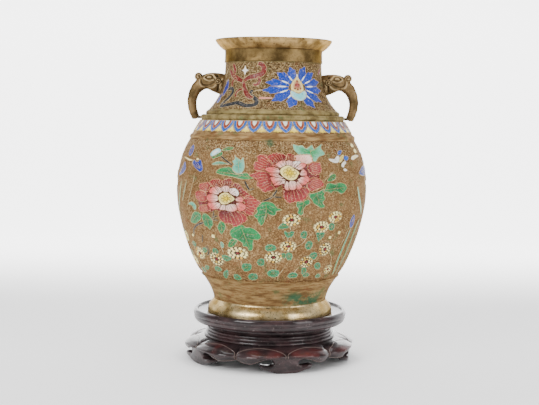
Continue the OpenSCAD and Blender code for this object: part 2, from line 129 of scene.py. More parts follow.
# ---- the vase's outer wall, as (radius, height) ------------------------------
BELLY = [(75.6, 95.5), (81.3, 103), (89.4, 120), (97.2, 143), (103.3, 170), (104.8, 193),
         (103, 213), (97.4, 232), (91, 244.5)]
SHOULDER = [(89.2, 249.6), (78.6, 265.6)]
NECK = [(70.2, 276.8), (65.2, 283), (60.8, 290), (57.4, 297), (55.4, 304), (54, 312), (53.4, 320),
        (53, 328)]
wall = join(curve(BELLY, 12), SHOULDER, [(73.6, BODY_TOP + 1)], curve(NECK, 12))
WALL_R, WALL_Z = wall.T
WALL_S = np.concatenate([[0], np.cumsum(np.hypot(np.diff(WALL_R), np.diff(WALL_Z)))])
SHOULDER_SLOPE, SHOULDER_SPAN = -0.6625, (244.6, 270)
on_shoulder = (WALL_Z > SHOULDER_SPAN[0]) & (WALL_Z < SHOULDER_SPAN[1])
slope = np.where(on_shoulder, SHOULDER_SLOPE, np.gradient(WALL_R, WALL_Z))
WALL_NR = 1 / np.hypot(1, slope)
WALL_NZ = -slope * WALL_NR


def up(z):
    """Distance along the wall, from the bottom of the belly, at a height z."""
    return np.interp(z, WALL_Z, WALL_S)


def radius_at(z):
    """Radius of the wall at a height z."""
    return np.interp(z, WALL_Z, WALL_R)


def on_wall(turn, s, h):
    """Point at turn degrees and s mm along the wall, moved h mm out along the wall's normal."""
    r = np.interp(s, WALL_S, WALL_R) + h * np.interp(s, WALL_S, WALL_NR)
    z = np.interp(s, WALL_S, WALL_Z) + h * np.interp(s, WALL_S, WALL_NZ)
    return turned(r, np.radians(turn), z)


# ---- meshes ------------------------------------------------------------------
def grid_faces(rows, cols, wrap=False, loop=False, flip=False):
    """Quads between neighbours in a rows by cols block of points. wrap joins the last column to the first,
    loop the last row to the first, and flip turns the faces over."""
    i = np.arange(rows if loop else rows - 1)[:, None]
    j = np.arange(cols if wrap else cols - 1)[None]
    above, beside = (i + 1) % rows * cols, (j + 1) % cols
    f = np.stack(np.broadcast_arrays(i * cols + j, i * cols + beside, above + beside, above + j),
                 -1).reshape(-1, 4)
    return f[:, ::-1] if flip else f


def fan(hub, ring, flip=False):
    """Triangles from one hub point to each pair of neighbours round a closed ring of points."""
    ring = ring[::-1] if flip else ring
    return np.stack([np.full(len(ring), hub), ring, np.roll(ring, -1)], -1)


class Shape:
    """Gathers blocks of points, faces and colours, then makes one mesh object of them."""

    def __init__(self):
        """Starts empty; count is the number of points so far."""
        self.points, self.faces, self.tints, self.count = [], [], [], 0

    def add(self, points, faces, tint=(1, 1, 1), rise=1.0):
        """One block of points, its faces numbered from the block's first point, and its colours."""
        points = np.asarray(points, float).reshape(-1, 3)
        tint = np.broadcast_to(np.asarray(tint, float), (len(points), 3))
        rise = np.broadcast_to(np.asarray(rise, float), (len(points),))
        self.points.append(points)
        self.tints.append(np.column_stack([tint, rise]))
        for f in faces if isinstance(faces, list) else [faces]:
            self.faces.append(np.asarray(f) + self.count)
        self.count += len(points)

    def build(self, name, material, body, stands_for, slot, crease):
        """One smooth mesh of all the blocks, riding on a body; edges past the crease angle stay sharp."""
        mesh = bpy.data.meshes.new(name)
        corners = np.concatenate([f.ravel() for f in self.faces])
        sizes = np.concatenate([np.full(len(f), f.shape[1]) for f in self.faces])
        points = np.concatenate(self.points) * MM
        mesh.vertices.add(len(points))
        mesh.vertices.foreach_set("co", points.ravel())
        mesh.loops.add(len(corners))
        mesh.loops.foreach_set("vertex_index", corners.astype(np.int32))
        mesh.polygons.add(len(sizes))
        mesh.polygons.foreach_set("loop_start",
                                  np.concatenate([[0], np.cumsum(sizes)[:-1]]).astype(np.int32))
        mesh.update(calc_edges=True)
        layer = mesh.color_attributes.new("Tint", "FLOAT_COLOR", "POINT")
        layer.data.foreach_set("color", np.concatenate(self.tints).astype(np.float32).ravel())
        mesh.validate()
        mesh.shade_smooth()
        if crease:
            mesh.set_sharp_from_angle(angle=math.radians(crease))
        obj = bpy.data.objects.new(name, mesh)
        bpy.context.scene.collection.objects.link(obj)
        mesh.materials.append(material)
        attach(obj, body)
        if stands_for:
            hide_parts(*stands_for)


# ---- enamel areas and the bronze lines round them ------------------------------
# sections: each point's share of the way across, or from the middle to the rim, and its share of the height
WIRE_ACROSS = np.array([-1, -0.72, 0, 0.72, 1])
WIRE_UP = np.array([0, 0.8, 1, 0.8, 0])
CELL_SHARES = np.array([0.0, 0.3, 0.6, 0.86, 1.0, 1.0])
CELL_RISE = np.array([1.0, 1.0, 1.0, 0.97, 0.85, -0.2])
RIBBON_ACROSS = np.array([1, 0.98, 0.5, 0, -0.5, -0.98, -1.0])
RIBBON_RISE = np.array([-0.2, 0.85, 1, 1, 1, 0.85, -0.2])
SCALLOP = 3.6  # length of one scallop along a rim


def flat(points, centre):
    """Places on the wall to flat millimetres (across, up) about a centre place."""
    p = np.asarray(points, float)
    return np.column_stack([np.radians(p[:, 0] - centre[0]) * radius_at(centre[1]),
                            up(p[:, 1]) - up(centre[1])])


def bent(uv, centre, h):
    """Flat millimetres about a centre place back to points on the wall."""
    return on_wall(centre[0] + np.degrees(uv[..., 0] / radius_at(centre[1])), up(centre[1]) + uv[..., 1], h)


def places(uv, centre):
    """Flat millimetres about a centre place to (turn, height) places."""
    uv = np.asarray(uv, float)
    z = np.interp(up(centre[1]) + uv[:, 1], WALL_S, WALL_Z)
    return list(zip(centre[0] + np.degrees(uv[:, 0] / radius_at(centre[1])), z))


def middle(points):
    """Centre of the box round a list of points."""
    p = np.asarray(points, float)
    return (p[:, 0].min() + p[:, 0].max()) / 2, (p[:, 1].min() + p[:, 1].max()) / 2


def line(out, uv, centre, base, top, width, closed=False, taper=0.3, tint=(1, 1, 1)):
    """Raised line: a half-round section carried along a path, its width tapered at open ends."""
    n = len(uv)
    side = headings(uv, closed)[1]
    w = np.full(n, width / 2)
    if not closed:
        w = w * (taper + (1 - taper) * np.sin(np.pi * (np.arange(n) + 0.5) / n) ** 0.5)
    p = uv[:, None, :] - side[:, None, :] * (w[:, None] * WIRE_ACROSS)[..., None]
    h = base + (top - base) * WIRE_UP
    out.add(bent(p, centre, h), grid_faces(n, len(WIRE_UP), loop=closed), tint, np.tile(WIRE_UP, n))


def scalloped(rim, frill):
    """A closed rim pushed in and out by frill times a rectified sine wave, evenly along its length."""
    long = np.hypot(*(np.roll(rim, -1, 0) - rim).T)
    share = (np.cumsum(long) - long) / long.sum()
    waves = max(3, round(long.sum() / SCALLOP))
    swing = np.abs(np.sin(np.pi * share * waves)) - 0.6
    return rim - headings(rim, True)[1] * (frill * swing)[:, None]


def cell(fill, wire, outline, near, far, depth, base=0.0, n=4, hub=None, spread=(0, 1), border=0.75,
         centre=None, proud=0.16, kernel=None, frill=0.0, edge_tint=(1, 1, 1)):
    """Area of enamel: rings shrink from the outline to a middle point, level on top, dropping at the edge.
    Its colour runs from near to far with the distance from the hub, or from the middle out to the edge."""
    centre = centre or middle(outline)
    key = flat(outline, centre)
    if np.sum(key[:, 0] * np.roll(key[:, 1], -1) - np.roll(key[:, 0], -1) * key[:, 1]) < 0:
        key = key[::-1]
    rim = curve(key, n, closed=True) if n > 1 else key
    if frill:
        rim = scalloped(rim, frill)
    core = flat([kernel], centre)[0] if kernel else (rim.min(0) + rim.max(0)) / 2
    m = len(rim)
    uv = core + CELL_SHARES[:, None, None] * (rim - core)
    if hub is None:
        t = np.repeat((CELL_SHARES ** 1.5)[:, None], m, 1)
    else:
        middle_uv = flat([hub], centre)[0]
        reach = np.hypot(*np.moveaxis(uv - middle_uv, -1, 0))
        t = np.clip((reach - spread[0]) / (spread[1] - spread[0]), 0, 1)
    tint = near + (far - near) * smooth(t)[..., None]
    points = bent(uv, centre, (base + depth * CELL_RISE)[:, None])
    fill.add(points[1:], grid_faces(len(uv) - 1, m, wrap=True, flip=True), tint[1:].reshape(-1, 3))
    fill.add(join(points[1], points[0][:1]), fan(m, np.arange(m)), join(tint[1], tint[0][:1]))
    if border:
        line(wire, rim, centre, base - 0.05, base + depth + proud, border, closed=True, tint=edge_tint)
    return rim, core, centre


def ribbon(fill, wire, path, width, near, far, depth, n, border, base=0.0, ends=0.25):
    """Band of enamel along a path: it swells by a sine to the middle, and its colour runs end to end."""
    centre = middle(path)
    uv = curve(flat(path, centre), n)
    m = len(uv)
    side = headings(uv)[1]
    half = (width / 2 * (ends + (1 - ends) * np.sin(np.pi * (np.arange(m) + 0.3) / m) ** 0.6))[:, None]
    p = uv[:, None, :] + side[:, None, :] * (half * RIBBON_ACROSS)[..., None]
    t = np.linspace(0, 1, m)[:, None, None]
    tint = np.broadcast_to(near + (far - near) * t, (m, len(RIBBON_ACROSS), 3))
    fill.add(bent(p, centre, base + depth * RIBBON_RISE), grid_faces(m, len(RIBBON_ACROSS)),
             tint.reshape(-1, 3))
    edge = join(uv + side * half, (uv - side * half)[::-1])
    line(wire, edge, centre, base - 0.05, base + depth + 0.14, border, closed=True)


def stem(wire, path, width, top=0.45, base=-0.05, n=5):
    """Raised line along a smooth path of places on the wall."""
    centre = middle(path)
    line(wire, curve(flat(path, centre), n), centre, base, top, width)


def bead(out, centre, uv, size, base, top, tint, sides=10):
    """Small round dome: three rings of points rising to a top point."""
    a = around(sides)
    ring = np.column_stack([np.cos(a), np.sin(a)])
    radii, rise = np.array([1.0, 0.82, 0.45]), np.array([0.0, 0.62, 0.93])
    p = np.asarray(uv) + ring[None] * (radii[:, None, None] * np.asarray(size))
    points = bent(p, centre, base + (top - base) * rise[:, None])
    peak = bent(np.asarray(uv)[None], centre, top)
    # painted shade and highlight: each dome's foot ring is darker and its upper ring a little lighter
    shade = np.repeat(np.array([0.75, 1, 1.05]), sides)[:, None] * np.asarray(tint)
    out.add(join(points.reshape(-1, 3), peak),
            [grid_faces(3, sides, wrap=True), fan(3 * sides, 2 * sides + np.arange(sides))],
            join(shade, np.asarray(tint)[None]))


# ---- shader maths --------------------------------------------------------------
class Socket:
    """A number, vector or colour inside a material; arithmetic on it adds Math nodes."""

    def __init__(self, mat, out):
        """mat is the Finish it belongs to, out the node's output."""
        self.mat, self.out = mat, out

    def _math(self, operation, *values):
        """One Math node on the values."""
        return self.mat.node("ShaderNodeMath", {"operation": operation}, dict(enumerate(values)))

    def __add__(self, o):
        """Sum."""
        return self._math("ADD", self, o)

    def __sub__(self, o):
        """Difference."""
        return self._math("SUBTRACT", self, o)

    def __mul__(self, o):
        """Product."""
        return self._math("MULTIPLY", self, o)

    def __radd__(self, o):
        """Sum with a plain number first."""
        return self._math("ADD", o, self)

    def __rsub__(self, o):
        """A plain number less this."""
        return self._math("SUBTRACT", o, self)

    def __rmul__(self, o):
        """Product with a plain number first."""
        return self._math("MULTIPLY", o, self)

    def between(self, low, high):
        """0 at low, 1 at high, eased in between; low may be above high."""
        return self.mat.node("ShaderNodeMapRange", {"interpolation_type": "SMOOTHSTEP"},
                             {0: self, 1: low, 2: high, 3: 0.0, 4: 1.0})


class Finish:
    """One material: a Principled shader and the nodes that feed it."""

    def __init__(self, name, **settings):
        """Settings are the shader's own sockets, which stay the same all over the surface."""
        self.material = bpy.data.materials.new(name)
        self.material.use_nodes = True
        self.tree = self.material.node_tree
        self.shader = self.tree.nodes["Principled BSDF"]
        self.set(**settings)
        self.place = self.node("ShaderNodeTexCoord", out="Object")
        self.x, self.y, self.z = self.split(self.place)

    def node(self, kind, settings=None, inputs=None, out=0):
        """Any node, from its settings and its sockets' values or links. Gives one of its outputs."""
        n = self.tree.nodes.new(kind)
        for key, value in (settings or {}).items():
            setattr(n, key, value)
        for key, value in (inputs or {}).items():
            if isinstance(value, Socket):
                self.tree.links.new(value.out, n.inputs[key])
            elif value is not None:
                n.inputs[key].default_value = value
        return Socket(self, n.outputs[out])

    def set(self, **settings):
        """Values or links of the shader's sockets, an underscore standing for a space."""
        for key, value in settings.items():
            socket = self.shader.inputs[key.replace("_", " ")]
            if isinstance(value, Socket):
                self.tree.links.new(value.out, socket)
            else:
                socket.default_value = value

    def split(self, vector):
        """The three parts of a vector or colour."""
        n = self.tree.nodes.new("ShaderNodeSeparateXYZ")
        self.tree.links.new(vector.out, n.inputs[0])
        return [Socket(self, o) for o in n.outputs]

    def attribute(self, out="Color"):
        """The colour stored with the points, or its Alpha: how high the point stands."""
        return self.node("ShaderNodeAttribute", {"attribute_name": "Tint"}, out=out)

    def scaled(self, x, y, z, shift=(0, 0, 0)):
        """Object coordinates stretched by x, y and z."""
        return self.node("ShaderNodeMapping", {}, {0: self.place, 1: shift, 3: (x, y, z)})

    def noise(self, scale, detail, rough=0.55, at=None, twist=0.0):
        """Cloudy pattern with the given number of features to the metre."""
        return self.node("ShaderNodeTexNoise", {},
                         {"Vector": at or self.place, "Scale": scale, "Detail": detail,
                                                    "Roughness": rough, "Distortion": twist}, out="Fac")

    def cells(self, scale, feature="F1", at=None):
        """Distance from scattered points, or from the borders between them."""
        return self.node("ShaderNodeTexVoronoi", {"feature": feature},
                         {"Vector": at or self.place, "Scale": scale, "Randomness": 1.0}, out="Distance")

    def blend(self, amount, a, b, how="MIX"):
        """Colour a turned towards colour b by the amount."""
        n = self.tree.nodes.new("ShaderNodeMix")
        n.data_type, n.blend_type = "RGBA", how
        for index, value in ((0, amount), (6, a), (7, b)):
            if isinstance(value, Socket):
                self.tree.links.new(value.out, n.inputs[index])
            elif index == 0:
                n.inputs[0].default_value = value
            else:
                n.inputs[index].default_value = (*value, 1)
        return Socket(self, n.outputs[2])

    def bump(self, height, distance, strength):
        """Surface tilted as if raised by height times distance, in metres."""
        return self.node("ShaderNodeBump", {},
                         {"Height": height, "Distance": distance, "Strength": strength},
                         out="Normal")


def enamel():
    """Fused glass: the area's own colour, clouded, speckled and pitted, satin on top, dull in its pits."""
    f = Finish("enamel_glass", Coat_Weight=0.12, Coat_Roughness=0.25, Specular_IOR_Level=0.3)
    tint = f.attribute()
    cloud = f.noise(160, 4)
    fine = f.noise(1400, 3)
    speckle = f.noise(560, 3, 0.7)
    pits = f.cells(1100).between(0.3, 0.1) * f.noise(420, 2).between(0.5, 0.62)
    tone = f.blend(cloud.between(0.35, 0.7) * 0.35, tint, rgb(255, 250, 240), "SOFT_LIGHT")
    tone = f.blend(speckle.between(0.53, 0.68) * 0.3, tone, rgb(240, 225, 215))
    tone = f.blend(speckle.between(0.45, 0.3) * 0.55, tone, rgb(60, 45, 40), "MULTIPLY")
    tone = f.blend(pits * 0.75, tone, rgb(60, 46, 34))
    f.set(Base_Color=tone, Roughness=0.4 + fine * 0.2 + pits * 0.3,
          Normal=f.bump(cloud * 0.5 + speckle * 0.4 - pits * 0.8, 0.0002, 0.8))
    return f.material


def bronze_ground():
    """Cast ground between the enamel areas: punched dots and short curls, dark hollows and tan crests."""
    f = Finish("bronze_ground", Metallic=0.6, Specular_Tint=(0.5, 0.4, 0.28, 1), Specular_IOR_Level=0.25)
    sway = f.node("ShaderNodeTexNoise", {}, {"Vector": f.place, "Scale": 260.0, "Detail": 1.0}, out="Color")
    swayed = f.node("ShaderNodeVectorMath", {"operation": "ADD"}, {0: f.place, 1: f.node(
        "ShaderNodeVectorMath", {"operation": "SCALE"}, {0: sway, "Scale": 0.0045})})
    curls = f.cells(330, "DISTANCE_TO_EDGE", at=swayed).between(0.02, 0.2)
    dots = f.cells(560).between(0.5, 0.15)
    grit = f.noise(640, 3, 0.75)
    # plain bands below the picture and on the collar lines are smooth
    picture = f.z.between(0.0938, 0.0958) * f.z.between(0.2446, 0.2436) + f.z.between(0.2762, 0.2772) * (
        f.z.between(0.3275, 0.3268))
    strong = f.z.between(0.222, 0.238) * 0.82 + 0.18
    tool = curls * 0.6 + dots * 0.4
    big = f.noise(42, 4)
    patch = f.noise(130, 4, 0.6)
    grime = f.noise(300, 4, 0.7)
    low = f.blend(big.between(0.38, 0.62), ore(108, 78, 46), ore(132, 98, 62))
    high = f.blend(patch.between(0.4, 0.62), ore(168, 130, 82), ore(202, 164, 110))
    tone = f.blend(tool, low, high)
    tone = f.blend(f.z.between(0.270, 0.277) * 0.5, tone, f.blend(tool, ore(60, 50, 32), ore(170, 146, 98)))
    tone = f.blend(grit.between(0.53, 0.66) * strong * 0.75, tone, ore(236, 212, 158))
    tone = f.blend(grit.between(0.48, 0.36) * strong * 0.9, tone, ore(44, 34, 22))
    drawn = f.noise(60, 5, 0.65, at=f.scaled(1, 1, 6))
    plain = f.blend(drawn.between(0.36, 0.66), ore(122, 90, 54), ore(184, 150, 96))
    plain = f.blend(f.z.between(0.262, 0.264) * 0.8, plain,
                    f.blend(patch.between(0.35, 0.65), ore(104, 92, 56), ore(168, 152, 98)))
    plain = f.blend(grime.between(0.56, 0.7) * 0.4, plain, ore(70, 54, 34))
    tone = f.blend(picture, plain, tone)
    # green bloom in places, and red-brown stains
    bloom = f.noise(70, 5, 0.62).between(0.58, 0.68)
    tone = f.blend(bloom * 0.5, tone, ore(92, 122, 78))
    stain = f.noise(95, 4, 0.6, at=f.scaled(1, 1, 1, (0.31, 0.2, 0.7))).between(0.58, 0.68)
    tone = f.blend(stain * 0.35, tone, ore(130, 70, 44))
    # verdigris: one patch low on the right of the front, a smaller one high in the middle
    right = (f.x.between(0.006, 0.026) * f.x.between(0.066, 0.046)
             * f.z.between(0.0655, 0.069) * f.z.between(0.084, 0.076))
    above = f.x.between(-0.012, -0.006) * f.x.between(0.004, -0.002) * f.z.between(0.235, 0.239) * (
        f.z.between(0.248, 0.244) * f.y.between(0.0, -0.02))
    mottle = f.noise(85, 6, 0.65, at=f.scaled(1, 1, 1, (0.05, 0, 0.02)))
    crust = (right + above * 0.7) * mottle.between(0.4, 0.54)
    tone = f.blend(crust * 0.85, tone, ore(54, 116, 86))
    dull = crust * 0.3 + bloom * 0.1
    f.set(Base_Color=tone, Roughness=0.55 - tool * 0.1 + grime * 0.14 + dull,
          Normal=f.bump((tool + grit * 0.8 * strong) * picture + (1 - picture) * drawn * 0.2, 0.0007, 0.9))
    return f.material


def plain_bronze(name, dark, light, shine, specks, dents=0.6, carved=False, collar=None, sides=False):
    """Cast bronze: two tones in soft patches, dark pores and spots, small dents; carving is darkened in its
    hollows as painted shade and rubbed bright on its ridges, a collar is duller up to its height, and the
    sides are darkened as painted shade."""
    f = Finish(name, Metallic=0.9, Specular_Tint=(0.55, 0.44, 0.3, 1))
    patch = f.noise(75, 5, 0.6)
    pores = f.noise(620, 4, 0.7)
    spots = f.noise(210, 5, 0.7, at=f.scaled(1, 1, 1.6)).between(0.6, 0.67)
    streak = f.noise(190, 4, at=f.scaled(1, 1, 0.35))
    tone = f.blend(patch.between(0.34, 0.66), dark, light)
    tone = f.blend(pores.between(0.56, 0.7) * specks, tone, ore(58, 42, 28))
    tone = f.blend(spots * specks, tone, ore(44, 34, 24))
    tone = f.blend(streak.between(0.6, 0.75) * 0.3, tone, ore(96, 100, 62))
    # painted shade: the far left and right of a round part are darkened where it turns away from the light
    if sides:
        tone = f.blend((f.x.between(0.048, 0.076) + f.x.between(-0.048, -0.076)) * 0.9, tone,
                       ore(60, 50, 32))
    if collar:
        tone = f.blend(f.z.between(collar + 0.0008, collar - 0.0004) * 0.62, tone, ore(64, 52, 30))
    # painted shade in the carving's hollows, from the height stored with the points; its ridges rubbed bright
    if carved:
        cut = f.attribute("Alpha")
        tone = f.blend(cut.between(0.46, 0.16) * 0.8, tone, ore(40, 30, 20))
        tone = f.blend(cut.between(0.56, 0.95) * 0.75, tone, ore(232, 200, 146))
    f.set(Base_Color=tone, Roughness=shine + patch * 0.16 + pores * 0.12 + spots * 0.2,
          Normal=f.bump(patch * 0.4 + streak * 0.3 - pores.between(0.5, 0.75) * 0.4, 0.0004, dents))
    return f.material


def wire_bronze():
    """Raised lines: rubbed bright brass on the crest, which also stands in for a highlight, and darkened down
    to the foot as dirt and painted shade.
    """
    f = Finish("wire_bronze", Metallic=0.6, Specular_Tint=(0.6, 0.5, 0.36, 1), Specular_IOR_Level=0.3)
    rise = f.attribute("Alpha")
    tint = f.attribute()
    wear = f.noise(240, 4, 0.65)
    tone = f.blend(wear.between(0.35, 0.65), ore(176, 142, 92), ore(236, 208, 156))
    tone = f.blend(f.noise(900, 2).between(0.55, 0.7) * 0.5, tone, ore(88, 66, 42))
    # painted shade with dirt: darker from the crest down to the foot of each line
    tone = f.blend(rise.between(0.75, 0.15), tone, ore(52, 38, 26))
    tone = f.blend(1.0, tone, tint, "MULTIPLY")
    f.set(Base_Color=tone, Roughness=0.34 + wear * 0.2, Normal=f.bump(wear, 0.0002, 0.5))
    return f.material


def rosewood():
    """Polished dark wood: soft grain, red patches in places and strongest on each petal's upper bulge as
    painted light, a rubbed gloss, beads pale as wear and painted highlight.
    """
    f = Finish("rosewood", Coat_Weight=0.6, Coat_Roughness=0.05, Coat_IOR=1.5, Specular_IOR_Level=0.1)
    grain = f.noise(48, 5, 0.6, at=f.scaled(1.2, 1.2, 3.4), twist=0.5)
    fine = f.noise(520, 4, 0.65, at=f.scaled(0.6, 0.6, 1.6))
    glow = f.noise(30, 2)
    tint = f.split(f.attribute())
    bead_wear_and_highlight = tint[2].between(1.2, 1.8)
    heart = tint[0].between(1.1, 2.2)
    tone = f.blend(grain.between(0.35, 0.68), ore(40, 33, 34), ore(70, 54, 55))
    # red patches in the grain are the wood's own; they are stronger on the middle of each petal's upper
    # bulge, painted light where the lobes face the lamps
    tone = f.blend(glow.between(0.45, 0.7) * (heart * 0.65 + 0.05), tone, ore(118, 46, 42))
    tone = f.blend(fine.between(0.55, 0.7) * 0.5, tone, ore(18, 11, 11))
    dust = f.noise(300, 5, 0.7).between(0.58, 0.72)
    tone = f.blend(dust * 0.3, tone, ore(170, 156, 150))
    # beads lightened: rub wear and a painted highlight along each petal's edge
    tone = f.blend(bead_wear_and_highlight * 0.42, tone, ore(176, 152, 140))
    f.set(Base_Color=tone, Roughness=0.3 + grain * 0.1 + fine * 0.14 + dust * 0.1,
          Normal=f.bump(grain * 0.2 + fine * 0.35, 0.0002, 0.6))
    return f.material


def key_wood():
    """Plain lighter wood for keys and dowels: straight grain and pores."""
    f = Finish("key_wood", Roughness=0.6)
    grain = f.noise(120, 4, at=f.scaled(1, 1, 5))
    pores = f.noise(900, 3)
    tone = f.blend(grain.between(0.35, 0.65), ore(96, 62, 36), ore(146, 102, 62))
    tone = f.blend(pores.between(0.58, 0.7) * 0.5, tone, ore(60, 38, 22))
    f.set(Base_Color=tone, Normal=f.bump(grain + pores * 0.3, 0.0002, 0.5))
    return f.material


ENAMEL, GROUND, WIRE = enamel(), bronze_ground(), wire_bronze()
# the handle's carving is darkened in its hollows as painted shade
HANDLE_BRONZE = plain_bronze("handle_bronze", ore(94, 76, 48), ore(148, 120, 80), 0.38, 0.45, carved=True)
# the foot's left and right ends are darkened as painted shade
BRIGHT_BRONZE = plain_bronze("bright_bronze", rgb(186, 156, 102, 0.9, 1.0), rgb(255, 228, 172, 1.0, 1.0),
                             0.16, 0.95, 0.3, sides=True)
MOUTH_BRONZE = plain_bronze("mouth_bronze", rgb(128, 102, 62, 0.8, 1.0), rgb(212, 176, 116, 0.85, 1.0), 0.3,
                            0.7, 0.5, collar=0.3418)
INNER_BRONZE = plain_bronze("inner_bronze", ore(84, 62, 40), ore(120, 92, 58), 0.5, 0.6)
WOOD, KEY = rosewood(), key_wood()


# ---- turned castings and turned wood ---------------------------------------------
TURNED_STEPS, TURNED_CREASE = 288, 38


def turned_shell(name, profile, material, body, node, slot):
    """Closed surface of revolution: the (radius, height) loop goes up the outside and down the inside."""
    p = np.asarray(profile, float)
    shape = Shape()
    shape.add(turned(p[:, :1], around(TURNED_STEPS), p[:, 1:]),
              grid_faces(len(p), TURNED_STEPS, wrap=True, loop=True))
    shape.build(name, material, body, (node,), slot, TURNED_CREASE)


body_out = join(curve([(62.6, BODY_LOW), (63.4, 71), (66.9, 80), (72.4, 89), (75.2, 93)], 5),
                [(76.3, 93.4), (76.9, 94.1)],
                curve(BELLY, 6), [(91.6, 245.4), (91.5, 247.4), (90.4, 249)], SHOULDER,
                [(79.3, 266.3), (79.9, 267.6), (79.6, 269.2), (78.3, 270.5), (76.6, BODY_TOP)])
body_in = join([(58, BODY_LOW), (59, 70)],
               curve([(62.6, 80), (74.5, 98), (86.6, 120), (94.4, 143), (100.6, 170),
                (102.2, 193), (100.4, 213), (94.6, 232), (86, 246), (76, 259)], 3),
                [(70, 264), (70, BODY_TOP)])
turned_shell("body_casting", join(body_out, body_in[::-1]), GROUND, "vase", "vase_body", "bronze")

neck_out = join([(73.6, BODY_TOP), (74.1, 271.6), (74.2, 272.6), (73.9, 273.8), (73.2, 274.8), (72, 275.4)],
                curve(NECK, 6))
neck_in = curve(NECK, 4)[::-1] - (2.9, 0)
turned_shell("neck_shell", join(neck_out, [(51.6, NECK_TOP), (51.6, SPIGOT_TOP), (50.2, SPIGOT_TOP)],
                                neck_in,
                                [(67.5, BODY_TOP), (67.5, SOCKET_LOW), (69.8, SOCKET_LOW),
                                 (69.8, BODY_TOP)]),
             GROUND, "vase", "neck_casting", "bronze")

mouth_out = join([(53.7, NECK_TOP), (54.1, 328.3), (54.15, 329.4), (53.9, 330), (53.8, 333), (53.7, 338),
                  (53.85, 341), (54.6, 341.7), (55.7, 342.2)],
                 curve([(55.9, 342.4), (58.6, 344.6), (61.8, 347.8), (63.6, 350.6)], 5),
                 [(64.1, 351.2), (64.4, 352), (64.4, 352.6), (64.05, MOUTH_TOP)])
mouth_in = join([(62.4, MOUTH_TOP), (61.9, 352.6)],
                curve([(61.4, 352), (58.4, 348.4), (55, 345.2), (51.8, 341.6), (50.4, 338)], 4),
                [(50.4, 334.2), (51.7, 334.2), (51.7, NECK_TOP)])
turned_shell("mouth_flare", join(mouth_out, mouth_in), MOUTH_BRONZE, "vase", "mouth_ring",
             "polished_bronze")

foot_out = join([(64.8, TRAY_FLOOR), (69.0, TRAY_FLOOR), (69.4, 52.9)],
                curve([(69.4, 54.6), (68.6, 58.2), (66.3, 61.8), (63.6, 65), (62.9, 66.3)], 5),
                [(62.4, BODY_LOW)])
turned_shell("foot_flare", join(foot_out, [(60, BODY_LOW), (60, 60), (64.4, 55)]), BRIGHT_BRONZE, "vase",
             "foot_ring", "polished_bronze")

# the tray: flat floor with a rolled rim over a hollow and a rounded edge
tray_out = join([(62, WAIST_TOP), (79.2, WAIST_TOP)],
                curve([(79.8, 41.4), (82.4, 42.3), (84.1, 44.3), (84.8, 46.8), (84.6, 48.3)], 4),
                curve([(84.7, 48.9), (85.25, 49.5), (85.4, 51.2), (84.9, 53.4), (83.7, 55), (82.3, RIM_TOP),
                       (81.2, 55.1),
                       (80.6, 53.9), (80.2, 52.8)], 4),
                       [(79.6, TRAY_FLOOR), (66, TRAY_FLOOR), (66, PANEL_LOW), (62, PANEL_LOW)])
turned_shell("tray_rim", tray_out, WOOD, "stand", "tray_ring", "rosewood")
waist = join([(56, SKIRT_TOP), (72.5, SKIRT_TOP)],
             curve([(72.6, 25.6), (73.05, 26.8), (72.5, 28.2), (71.1, 28.9)], 4),
             curve([(71.2, 29.2), (71.7, 30.4), (71.1, 31.7), (69.9, 32.2)], 4),
             curve([(69.9, 32.4), (70.3, 33.4), (69.7, 34.6), (68.1, 35.2)], 4),
             curve([(67.6, 36), (66.9, 37.6), (67.4, 39.4), (69.4, 41)], 4),
             [(70, WAIST_TOP), (56, WAIST_TOP)])
turned_shell("waist_moulding", waist, WOOD, "stand", "waist_ring", "rosewood")

# ---- the carved skirt and its cloud feet -------------------------------------------
FEET, FOOT_TURN = 5, 12
SKIRT_STEPS, BEAD_RADIUS, BEAD_SIDES = 97, 0.34, 6
FOOT_CURVES = join([(-1, 0)], curve([(9.5, 0), (14, 1.1), (19.5, 3.2), (25, 4.8), (27.7, 7)], 4),
                   curve([(27.9, 8.5), (26.6, 9.5), (21, 8.5), (16, 8.4), (13.2, 9.9), (13.3, 12.4),
                          (16.6, 15.2)], 4),
                   [(17, 17.1), (-1, 17.1)])


def skirt_rows(steps):
    """Section of the skirt at each step from foot to foot: edge, drop and underside follow two swells."""
    t = np.linspace(0, 1, steps)
    k = np.where(t >= 1, 0, t * 2 % 1)
    s = np.abs(np.sin(np.pi * k)) ** 0.55
    f = np.abs(np.cos(np.pi * t)) ** 1.5
    d = np.clip((0.355 - np.minimum(t, 1 - t)) / 0.18, 0, 1)
    near = smooth(d)
    edge = 86 + 5 * f + (9.2 - 5 * f) * s
    drop = (3.2 - 1.2 * near) * (1 - s) + 1.2 * s
    low = (12.2 - 3.1 * s) * (1 - near) + 15.4 * near
    one = np.ones_like(t)
    knots = [(70.7 * one, SKIRT_TOP * one), (76 * one, 25.3 - drop * 0.3), (edge - 8, 24.4 - drop),
             (edge - 2.8, 21.7 - drop),
             (edge - 0.3, (18.4 - drop * 0.6) * (1 - near) + 18.7 * near), (edge, 15.4 + 1.9 * near),
             (edge - 1.3, np.minimum(low + 2, 12.9) * (1 - near) + 16 * near), (edge - 4.6, low),
             (edge - 8.5, (low + 0.7) * (1 - near) + 14.2 * near), (76 * one, 12.7 * one),
             (68 * one, 13 * one)]
    top = curve(np.array(knots).transpose(0, 2, 1).reshape(len(knots), -1), 3).reshape(-1, steps, 2)
    inner = np.array([[(58, 13)] * steps, [(58, SKIRT_TOP)] * steps], float)
    return t, np.concatenate([inner, top])


